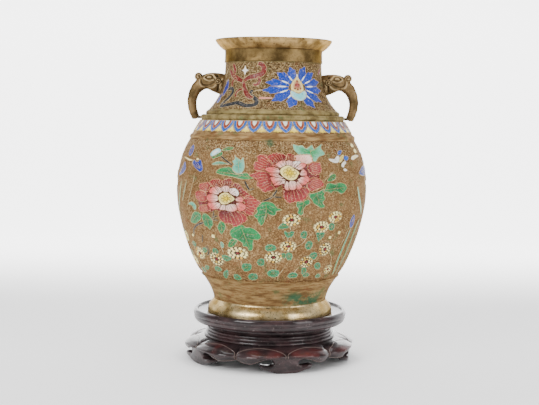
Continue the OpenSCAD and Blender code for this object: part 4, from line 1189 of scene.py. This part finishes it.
# flower heads: turn, height, half width, half height
HEADS = [(12, 163.5, 9.8, 6.3), (31.5, 155.5, 10, 6), (41, 165.5, 9.8, 6), (37.5, 131, 7.8, 7.5),
         (25, 118, 7.5, 6.8),
         (47, 107.5, 5.8, 5.5), (11, 135.5, 8.9, 5.7), (2, 123.5, 9.5, 6.5), (-22, 126.5, 12.3, 7),
         (-40, 118, 9.8, 8),
         (-57, 122, 9.5, 7), (-71, 112, 7, 6), (-73, 138, 7, 6)]


def round_outline(mid, half_u, half_v):
    """Ring of twelve (turn, height) places about mid."""
    return [(mid[0] + math.degrees(half_u * math.cos(a) / radius_at(mid[1])), mid[1] + half_v * math.sin(a))
            for a in around(12)]


def flower_head(turn, z, half_u, half_v):
    """Head of small cream beads in two rings on a dark base, with a rust-coloured middle."""
    mid = (turn, z)
    cell(fill_of("chrysanthemum_heads"), wires, round_outline(mid, half_u, half_v), OLIVE, OLIVE,
         depth=0.35, centre=mid, border=0.55, proud=0.05, kernel=mid)
    start = rng.uniform(0, 1)
    for share, beads, fat, peak in ((0.82, 13, 0.37, 0.95), (0.46, 8, 0.42, 1.08)):
        for k in range(beads):
            a = 2 * math.pi * (k + start + (0.5 if beads == 8 else 0)) / beads
            uv = np.array([half_u * share * math.cos(a), half_v * share * math.sin(a)])
            reach = 2 * math.pi * share / beads * fat
            size_uv = (max(half_u, half_v) * reach * rng.uniform(0.92, 1.05),
                       min(half_u, half_v) * max(reach, 0.16))
            bead(fill_of("chrysanthemum_heads"), mid, uv, (max(size_uv), max(size_uv) * 0.9), 0.3, peak,
                 vary(CREAM if rng.random() < 0.72 else CREAM_DEEP, 0.08))
    bead(fill_of("chrysanthemum_heads"), mid, np.zeros(2), (half_u * 0.17, half_v * 0.19), 0.3, 0.95,
         vary(RUST, 0.12))


# areas that lie straight on the ground: node, near tone, far tone, outline
BLUE_AREAS = [
    [(-56, 219.5), (-54.5, 222.3), (-52, 220.5), (-49.5, 221), (-49.5, 223), (-47.5, 222), (-46, 218.5),
     (-44.5, 214), (-45, 211), (-47, 210.3), (-50, 212.5), (-53, 215)],
    [(-65, 229.5), (-64.5, 235), (-62.5, 238), (-60, 235.5), (-58.8, 231), (-60.5, 226), (-63.5, 226.5)],
    [(-75, 205.5), (-70.5, 212), (-68, 218), (-66, 219.5), (-64, 216), (-63, 212.5), (-65, 208),
     (-69, 205.5), (-73, 204)],
    [(64, 210), (68, 214), (73, 217), (80, 217.5), (84, 214), (80, 209), (74, 206.5), (68, 207.5)],
    [(57.5, 152.5), (56, 158), (57, 163), (59.5, 166.5), (61.5, 162), (61.5, 156), (60, 152)],
    [(79, 222), (82, 228), (86, 231), (88, 226), (86, 220), (82, 219)],
    [(86, 202), (90, 207), (95, 209), (98, 205), (94, 201), (89, 200)],
]
BUDS = [
    (WHITE, ICE, [(-40.8, 228.5), (-40, 231.5), (-38, 234), (-35.5, 235.3), (-33, 233.5), (-34, 231),
                  (-37, 228), (-39, 226.5)]),
    (CREAM, CREAM, [(63, 239), (65, 241.5), (68, 240.5), (67.5, 238), (64.5, 237.5)]),
    (CREAM, CREAM, [(65, 235), (68, 236), (69.5, 233), (67, 231), (64.5, 232.5)]),
    (CREAM, WHITE, [(57, 225.5), (60, 228.5), (66, 229.5), (70, 228), (64, 226), (60, 224.5)]),
    (CREAM, CREAM, [(-52.5, 223.3), (-51, 224.4), (-49.6, 222.6), (-51.3, 221.9)]),
]
SMALL_BUDS = [(-38.5, 143, 2.6, 2.2), (47, 148, 2.2, 2), (39.7, 143.5, 1.9, 1.8), (-60, 141, 2, 1.8)]
BUTTERFLY = [
    ("butterfly_wings", BLUE, BLUE_PALE, [(44.5, 230), (44.5, 232.5), (46.5, 234.5), (49.5, 234.8),
                                          (48, 232), (46.5, 230)]),
    ("butterfly_wings", WHITE, WHITE, [(36, 225.5), (37.5, 226.3), (40, 224.5), (42, 226), (43, 229),
                                       (45, 229), (45, 226), (43.5, 222.5), (41, 221.8), (38, 223)]),
    ("butterfly_bodies", YELLOW, CREAM, [(44, 222.5), (45.5, 227), (48.5, 230), (50, 229.5), (48.5, 226),
                                         (46, 222.8)]),
    ("butterfly_wings", BLUE_PALE, BLUE, [(49, 225.5), (50, 228.5), (52.5, 229), (54.5, 227.5), (53, 224.5),
                                          (50.5, 223.5)]),
    ("butterfly_wings", WHITE, WHITE, [(45.5, 218), (46.5, 221.5), (49.5, 223.5), (50.5, 221.5),
                                       (48.5, 219.5), (47.5, 217)]),
    ("butterfly_wings", WHITE, WHITE, [(47, 215), (48.5, 216), (50.3, 214), (49, 213), (47.5, 213.5)]),
]
# bands: node, width, near and far tones, (turn, height) path
IRIS_BLADES = [
    (3.4, LEAF_PALE, TEAL_PALE, [(61, 196), (64, 185), (68, 175), (72, 165)]),
    (3.2, LEAF, TEAL, [(58, 99), (55, 114), (56, 132), (59, 150)]),
    (3.6, LEAF_DEEP, LEAF, [(63, 99), (63, 122), (66, 146), (70, 160)]),
    (3.4, TEAL, LEAF_PALE, [(72, 99), (76, 124), (81, 150), (88, 172)]),
    (3.4, LEAF, TEAL_PALE, [(96, 99), (94, 128), (89, 158), (82, 196)]),
    (3.0, LEAF_DEEP, LEAF, [(103, 99), (101, 130), (97, 160), (93, 192)]),
    (3.0, TEAL, LEAF, [(-80, 150), (-77, 166), (-72, 182), (-68, 198)]),
    (2.2, LEAF_DEEP, LEAF_DEEP, [(-60, 200), (-62, 192), (-64.5, 184), (-66, 178)]),
    (1.7, CREAM, CREAM, [(-70, 224), (-65, 223), (-60, 221.7), (-56.6, 221.8)]),
]
BRANCHES = [
    (1.5, [(-15.5, 203), (-14, 198), (-12.3, 193.5)]), (1.1, [(-12.3, 194), (-10, 195.5)]),
    (1.5, [(3, 194.5), (1.5, 190), (0.5, 187)]), (1.2, [(0.5, 187.5), (5.5, 187)]),
    (1.3, [(0.5, 187), (-5, 182.4)]),
    (1.3, [(-35.5, 170), (-36, 165), (-37.5, 161.5)]), (1.0, [(-36.5, 163), (-33, 165.5)]),
    (1.0, [(-37, 161.5), (-33, 160.5)]),
    (1.8, [(-44.5, 157), (-52, 153), (-57, 147), (-58, 141)]), (1.4, [(-48, 143), (-50, 135)]),
    (1.5, [(-47, 131), (-45.5, 126), (-48, 121)]), (1.4, [(-34, 229), (-30, 225), (-24, 219)]),
]
STEMS = [
    [(3.5, 118), (4, 110)], [(12, 119), (10, 113), (8, 108), (6, 103), (5.5, 98)],
    [(20.5, 113), (18.5, 109), (17.5, 106)],
    [(15.5, 134.5), (20, 138.5), (22, 143), (26, 150)], [(10.5, 144), (10, 140)], [(11, 157), (11.8, 153)],
    [(-36, 138), (-33.5, 131), (-32.5, 125)], [(-20, 118), (-20.5, 113)], [(31, 203), (35, 209), (39, 213)],
    [(44, 229.5), (42, 232), (39.5, 233)], [(45.5, 230.5), (45, 234.5), (43.5, 237)],
    [(-34.6, 235), (-34.5, 240)],
    [(-37.6, 234.5), (-37.5, 239)], [(56, 152), (54, 140), (50, 130)], [(47.5, 113), (46, 121), (42, 127)],
    [(-60, 136), (-63, 128), (-64, 118), (-62, 106)], [(-73, 132), (-70, 122), (-68, 108), (-66, 98)],
    [(-51, 209), (-53, 196), (-56, 184), (-60, 172)], [(74, 206), (76, 196), (80, 186)],
]


def small_leaf(outline, turn):
    """Scalloped leaf with ribs from its middle to five or so places on its rim."""
    rim, core, centre = cell(fill_of("chrysanthemum_leaves"), wires, shifted(outline, turn),
                             vary(LEAF_DEEP, 0.1),
                             vary(TEAL * 0.4 + LEAF * 0.5, 0.12), depth=0.42, n=4, border=0.5, frill=0.7)
    for tip in rim[::max(1, len(rim) // 5)]:
        rib = curve([core, (core + tip) / 2, core + (tip - core) * 0.75], 2)
        line(wires, rib, centre, 0.3, 0.52, 0.36, tint=VEIN)


def blue_area(outline, turn):
    """Iris petal with three raised lines along its longest reach."""
    rim, core, centre = cell(fill_of("iris_petals"), wires, shifted(outline, turn), vary(BLUE_DEEP),
                             vary(BLUE), depth=0.55, border=0.7)
    reach = rim[np.argmax(np.hypot(*(rim - core).T))] - core
    for share in (-0.35, 0.0, 0.35):
        across = quarter(reach) * share * 0.5
        path = curve([core - reach * 0.5 + across, core + across, core + reach * 0.6], 3)
        line(wires, path, centre, 0.45, 0.66, 0.34)


def picture(turn):
    """Everything on the body but the peonies, turned round the axis by a number of degrees."""
    for outline, tone, root, tip in LEAVES:
        leaf(outline, tone, root, tip, turn)
    for outline in SMALL_LEAVES:
        small_leaf(outline, turn)
    for at, z, half_u, half_v in HEADS:
        flower_head(at + turn, z, half_u, half_v)
    for outline in BLUE_AREAS:
        blue_area(outline, turn)
    for near, far, outline in BUDS:
        cell(fill_of("flower_buds"), wires, shifted(outline, turn), vary(near, 0.03), vary(far, 0.03),
             depth=0.6, n=3, border=0.6)
    for at, z, half_u, half_v in SMALL_BUDS:
        mid = (at + turn, z)
        for k in range(4):
            a = math.pi / 2 * k + 0.6
            bead(fill_of("flower_buds"), mid, (half_u * 0.5 * math.cos(a), half_v * 0.5 * math.sin(a)),
                 (half_u * 0.55, half_v * 0.55), 0, 0.8, vary(CREAM, 0.05))
    for node, near, far, outline in BUTTERFLY:
        cell(fill_of(node), wires, shifted(outline, turn), vary(near, 0.04), vary(far, 0.04), depth=0.6,
             n=3, border=0.6)
    for k in range(3):
        band = [(45.1 + k * 1.3, 225.6 + k * 1.5), (46.9 + k * 1.2, 224.8 + k * 1.5)]
        stem(wires, shifted(band, turn), 0.4, 0.8, 0.5, 2)
    for k, (width, near, far, path) in enumerate(IRIS_BLADES):
        ribbon(fill_of("iris_leaves"), wires, shifted(path, turn), width, vary(near), vary(far),
               base=0.04 * (k % 3), depth=0.4, n=7, border=0.6)
    for width, path in BRANCHES:
        ribbon(fill_of("branches"), wires, shifted(path, turn), width * 1.35, vary(SLATE_DARK * 0.7),
               vary(SLATE_DARK), depth=0.35, n=4, border=0.35, ends=0.7)
    for path in STEMS:
        stem(wires, shifted(path, turn), 0.85, 0.5, n=4)


def close_lines(name):
    """The raised lines gathered so far become one piece."""
    global wires
    wires.build(name, WIRE, "vase", (), "bronze", 0)
    wires = Shape()


for turn, side in ((0, "front"), (180, "back")):
    for p in PEONIES:
        peony(p, turn)
    close_lines(f"peony_lines_{side}")
    picture(turn)
    close_lines(f"picture_lines_{side}")

# ---- lappets round the shoulder ----------------------------------------------------------
LAPPETS, LAPPET_TURN = 32, -2
SHOULDER_PLACE = 258.4


def lappet_outline(width, top, tip):
    """Pointed tongue: straight sides that bend in to the tip."""
    fall = top - tip
    half = [(width / 2 * w, top - fall * t) for w,
            t in ((1.0, 0.0), (0.97, 0.22), (0.86, 0.45), (0.65, 0.68), (0.34, 0.88))]
    return [(-u, v) for u, v in half] + [(0, tip)] + half[::-1]


def cone_cell(node, outline, turn, near, far, base, depth, border=0.7):
    """Lappet area on the shoulder: its (across, up) outline is widened with the cone below the middle."""
    scale = radius_at(SHOULDER_PLACE)

    def place(u, v):
        """Turn and height of a place u across and v up the wall from the middle."""
        return turn + math.degrees(u / scale), float(np.interp(up(SHOULDER_PLACE) + v, WALL_S, WALL_Z))

    cell(fill_of(node), wires, [place(u, v) for u, v in outline], near, far, base=base, depth=depth, n=2,
         centre=(turn, SHOULDER_PLACE), border=border, kernel=place(0, 1.0))


def straight(outline, n):
    """The same outline with n points on each side, so that a smooth curve through them keeps its corners."""
    p = np.asarray(outline, float)
    q = np.roll(p, -1, 0)
    t = np.linspace(0, 1, n, endpoint=False)[None, :, None]
    return (p[:, None] + (q - p)[:, None] * t).reshape(-1, 2)


# three tongues one on another, each from its (width, top, tip), and the area between two neighbours
TONGUES = [straight(lappet_outline(*sizes), 3)
           for sizes in ((16.0, 7.0, -7.4), (9.6, 6.9, -3.2), (5.0, 6.8, 0.6))]
BETWEEN = straight([(0, 1.4), (-1.6, -1.6), (-3.6, -4.4), (-4.6, -6.3), (-1.4, -6.2), (0, -7.2),
                    (1.4, -6.2),
                    (4.6, -6.3), (3.6, -4.4), (1.6, -1.6)], 2)

for i in range(LAPPETS):
    at = LAPPET_TURN + 360 / LAPPETS * i
    cone_cell("lappets_blue", TONGUES[0], at, vary(BLUE_DEEP, 0.1), vary(BLUE_PALE, 0.1), 0.0, 0.5)
    cone_cell("lappets_red", TONGUES[1], at, vary(BRICK, 0.1), vary(BRICK_PALE, 0.08), 0.3, 0.4, 0.6)
    cone_cell("lappets_white", TONGUES[2], at, vary(WHITE, 0.03), vary(ICE * 0.3 + WHITE * 0.7, 0.04), 0.55,
              0.35, 0.5)
    cone_cell("lappets_cream", BETWEEN, at + 180 / LAPPETS, vary(CREAM, 0.05), vary(YELLOW, 0.06), -0.15,
              0.5, 0.5)

close_lines("lappet_lines")

# ---- lotus and scrolls on the neck ---------------------------------------------------------
LOTUS_MIDDLE = (27, 301)
LOTUS_TIPS = [(-7, 305), (-10, 297), (0, 286), (15, 279.6), (40, 279.6), (54, 286), (62, 298), (61, 307),
              (51, 316),
              (38, 322), (19, 321), (5, 315)]
SCROLLS = [
    (5.4, [(-20, 289), (-24, 289.5), (-29, 294), (-33, 300), (-35, 307)]),
    (6.0, [(-35, 306.5), (-28, 310.5), (-20, 312), (-13, 314.5), (-10.5, 319), (-13, 324), (-18, 325.2)]),
    (3.6, [(-18, 311), (-15, 307), (-18, 303), (-22.5, 302.8)]),
    (5.8, [(-36, 306.5), (-42, 308.5), (-49, 311), (-55, 314.5), (-60, 318.5)]),
    (4.6, [(-52, 312.5), (-50, 317), (-51, 321.5), (-54, 325)]),
    (3.4, [(-46, 310), (-50.5, 308), (-52.5, 304.5), (-50.5, 301)]),
    (3.2, [(-33, 298), (-39, 297), (-42, 293), (-40, 289.5)]),
    (4.2, [(63, 315), (66, 318), (69, 320), (73, 321)]),
]
SIDE_PETALS = [
    [(-60, 306), (-63, 309), (-66, 304), (-68, 298), (-66, 292), (-63, 290), (-60, 296), (-58.5, 301)],
    [(-66, 289.5), (-70, 294), (-73, 290), (-72, 285), (-68, 282.5), (-64.5, 285)],
]
SLATE_SCROLL = [(-22, 297), (-24.5, 293), (-20, 289.5), (-16, 286), (-16.5, 281.6), (-25, 280.2),
                (-35, 283), (-46, 281),
                (-55, 280), (-53.5, 285), (-50, 289), (-47.5, 294.5), (-51, 299), (-58, 297.5)]


LOTUS_HEART = [(20, 297), (19.5, 302), (21.5, 306), (24.5, 309.5), (27, 312), (29.5, 309.5), (32, 306),
               (33.8, 302),
               (33.4, 297), (27, 294.6)]
LOTUS_SEEDS = [(23.8, 299), (27, 298), (30.2, 299), (25, 303), (29, 303), (27, 307)]
LOTUS_CUP = [(18, 295), (20, 297), (24, 294.8), (27, 293.8), (30, 294.8), (34, 297), (37, 295), (35, 290),
             (31, 287),
             (27, 286), (22, 287.2), (19, 290.5)]
# half of a petal: share of its reach, share of its half width
LOTUS_FORM = [(0.30, 0.44), (0.55, 0.92), (0.74, 1.12), (0.84, 1.1), (0.87, 0.72), (0.97, 0.44),
              (1.06, 0.0)]
SHORT_SCROLL = [(-14, 288.6), (-7.5, 288.4), (-1, 288.6)]
DIAMOND = [(-39.2, 318), (-35.6, 319.6), (-34, 323.6), (-32.4, 319.6), (-28.8, 318), (-32.4, 316.4),
           (-34, 312.6),
           (-35.6, 316.4)]
SIDE_STEMS = [[(-64, 283), (-69, 288), (-66, 294), (-61, 292)],
              [(68, 283), (72, 289), (69, 295), (65, 292)],
              [(-66, 306), (-71, 311), (-68, 317), (-63, 322)],
              [(68, 306), (72, 312), (69, 318), (66, 323)]]


def lotus(turn):
    """Flower of twelve blue petals with notched tips, white slips between them, a heart in a pale cup."""
    hub, = shifted([LOTUS_MIDDLE], turn)
    tips = flat(shifted(LOTUS_TIPS, turn), hub)
    for k, tip in enumerate(tips):
        reach = np.hypot(*tip)
        out = tip / reach
        side = quarter(out)
        after, before = tips[(k + 1) % len(tips)], tips[k - 1]
        right_w, left_w = (min(abs(float(side @ (o / np.hypot(*o) * reach * 0.74))) * 0.5, 4.6)
                           for o in (after, before))
        right = [out * reach * r + side * right_w * w for r, w in LOTUS_FORM]
        left = [out * reach * r - side * left_w * w for r, w in LOTUS_FORM[:-1]]
        petal_form = np.array(left + right[::-1])
        cell(fill_of("lotus_petals"), wires, places(petal_form, hub), vary(BLUE_PALE, 0.1), vary(BLUE, 0.1),
             depth=0.55, n=3, centre=hub, border=0.5, hub=hub, spread=(4, 12),
             kernel=places([out * reach * 0.66], hub)[0])
        mid = (tip / reach + after / np.hypot(*after))
        mid = mid / np.hypot(*mid) * (reach + np.hypot(*after)) / 2
        slip = curve([mid * 0.36, mid * 0.45, mid * 0.54, mid * 0.62], 3)
        line(fill_of("lotus_petals"), slip, hub, 0.35, 0.85, 1.9, tint=WHITE, taper=0.15)
    cell(fill_of("lotus_hearts"), wires, shifted(LOTUS_HEART, turn), vary(RED_EDGE, 0.04), CREAM,
         base=0.35, depth=0.6, n=4, edge_tint=(1.2, 1.1, 0.8))
    for seed in shifted(LOTUS_SEEDS, turn):
        bead(fill_of("lotus_hearts"), seed, (0, 0), (1.1, 1.2), 0.85, 1.35, vary(RED, 0.06), 8)
    cell(fill_of("lotus_cups"), wires, shifted(LOTUS_CUP, turn), vary(ICE, 0.03), ICE * 0.6 + WHITE * 0.4,
         base=0.35, depth=0.5, n=3)


def neck_pattern(turn):
    """Lotus, scrolls, side petals, diamond and stems on the neck, turned by a number of degrees."""
    lotus(turn)
    for k, (width, path) in enumerate(SCROLLS):
        ribbon(fill_of("scrolls_red"), wires, shifted(path, turn), width, vary(BRICK * 0.9), vary(BRICK),
               base=0.03 * (k % 3), depth=0.5, n=6, border=0.7, ends=0.5)
    ribbon(fill_of("scrolls_dark"), wires, shifted(SLATE_SCROLL, turn), 5.6, SLATE_DARK, vary(SLATE_DARK),
           depth=0.4, n=4, border=0.6, ends=0.6)
    for outline in SIDE_PETALS:
        cell(fill_of("lotus_petals"), wires, shifted(outline, turn), vary(BLUE_DEEP), vary(BLUE), depth=0.5,
             n=4, border=0.7)
    ribbon(fill_of("scrolls_red"), wires, shifted(SHORT_SCROLL, turn), 2.4, PINK, PINK_PALE,
           depth=0.45, n=4, border=0.6, ends=0.8)
    stem(wires, shifted([(-20, 296), (-14, 297.2), (-8, 297)], turn), 1.1)
    cell(fill_of("neck_diamonds"), wires, shifted(DIAMOND, turn), WHITE, WHITE, depth=0.55, n=2, border=0.6)
    stem(wires, shifted([(-34, 314.4), (-34.4, 311.8), (-35, 309.6)], turn), 0.8)
    for path in SIDE_STEMS:
        stem(wires, shifted(path, turn), 1.2)


for turn in (0, 180):
    neck_pattern(turn)
close_lines("neck_lines")

SLOTS = {s["node"]: s["material_slot"] for s in frame["record"]["subparts"]}
for node, shape in enamels.items():
    shape.build(f"{node}_enamel", ENAMEL, "vase", (node,), SLOTS[node], 0)

for node, material in (("base_plate", INNER_BRONZE), ("handle_rivets", BRIGHT_BRONZE),
                       ("handle_tip_pins", BRIGHT_BRONZE),
                       ("tray_panel", WOOD), ("mitre_keys", KEY), ("waist_dowels", KEY)):
    mesh = frame["nodes"][node].data
    mesh.materials.clear()
    mesh.materials.append(material)

# ---- floor, light and camera -----------------------------------------------------------------
scene = bpy.context.scene


def backdrop():
    """Floor that sweeps up into a wall: a line, a quarter circle and a line, carried sideways."""
    reach, bend, tall = 1.1, 0.5, 2.6
    a = np.linspace(0, np.pi / 2, 24)
    y = np.concatenate([[-3.0, -0.6, 0.0, 0.6], reach + bend * np.sin(a)])
    z = np.concatenate([np.zeros(4), bend - bend * np.cos(a)])
    y, z = np.append(y, reach + bend), np.append(z, tall)
    x = np.array([-4.0, 4.0])
    points = np.stack([np.repeat(x[None], len(y), 0), np.repeat(y[:, None], 2, 1),
                       np.repeat(z[:, None], 2, 1)], -1)
    mesh = bpy.data.meshes.new("studio_sweep")
    mesh.from_pydata(points.reshape(-1, 3).tolist(), [], grid_faces(len(y), 2).tolist())
    mesh.shade_smooth()
    f = Finish("studio_paper", Roughness=0.85, Specular_IOR_Level=0.1)
    grain = f.noise(60, 4)
    f.set(Base_Color=f.blend(grain, rgb(246, 246, 246), rgb(252, 252, 252)),
          Emission_Strength=1.0)
    # The sweep glows as a lamp: dimly on the floor and brightly on the wall behind. In a round patch under
    # the stand the glow drops nearly to black, a painted shadow.
    behind = (f.y.between(0.3, 1.0) * f.x.between(1.1, 0.75) * f.x.between(-1.1, -0.75)
              * f.z.between(1.3, 0.9))
    under = (f.x * f.x + f.y * f.y).between(0.112 ** 2, 0.075 ** 2)
    glow = f.blend(behind, (0.8, 0.8, 0.81), (3.8, 3.8, 3.8))
    f.set(Emission_Color=f.blend(under, glow, (0.02, 0.02, 0.02)))
    mesh.materials.append(f.material)
    obj = bpy.data.objects.new("studio_sweep", mesh)
    scene.collection.objects.link(obj)


def facing(place, target):
    """Matrix of a light or camera at a place, looking along the line to its target."""
    place, target = Vector(place), Vector(target)
    turn = (target - place).to_track_quat("-Z", "Y").to_matrix().to_4x4()
    return Matrix.Translation(place) @ turn


def area_light(name, place, target, size, power):
    """White rectangular light of a size in metres and a power in watts, which faces its target."""
    data = bpy.data.lights.new(name, "AREA")
    data.shape, data.size, data.size_y = "RECTANGLE", size[0], size[1]
    data.energy = power
    obj = bpy.data.objects.new(name, data)
    scene.collection.objects.link(obj)
    obj.matrix_world = facing(place, target)


backdrop()
MIDDLE = (0, 0, 0.18)
area_light("key_left", (-1.1, -1.3, 1.0), MIDDLE, (0.9, 0.9), 26)
area_light("fill_right", (1.3, -1.0, 0.7), MIDDLE, (0.8, 1.1), 14)
area_light("overhead", (0.0, -0.1, 1.5), MIDDLE, (1.2, 1.0), 15)
area_light("rim_left", (-1.0, 0.7, 0.5), MIDDLE, (0.5, 1.0), 1.5)
area_light("rim_right", (1.0, 0.7, 0.5), MIDDLE, (0.5, 1.0), 1.5)

world = bpy.data.worlds.new("studio_air")
scene.world = world
world.use_nodes = True
world.node_tree.nodes["Background"].inputs[0].default_value = (1, 1, 1, 1)
world.node_tree.nodes["Background"].inputs[1].default_value = 0.25

camera_data = bpy.data.cameras.new("camera")
camera_data.lens, camera_data.sensor_width = 73.7, 36
camera = bpy.data.objects.new("camera", camera_data)
scene.collection.objects.link(camera)
CAMERA_AT, LOOKS_AT, ROLL = (-0.0020, -1.230, 0.2685), (-0.0020, 0, 0.1735), math.radians(0.9)
camera.matrix_world = facing(CAMERA_AT, LOOKS_AT) @ Matrix.Rotation(ROLL, 4, "Z")
scene.camera = camera

bpy.context.view_layer.update()
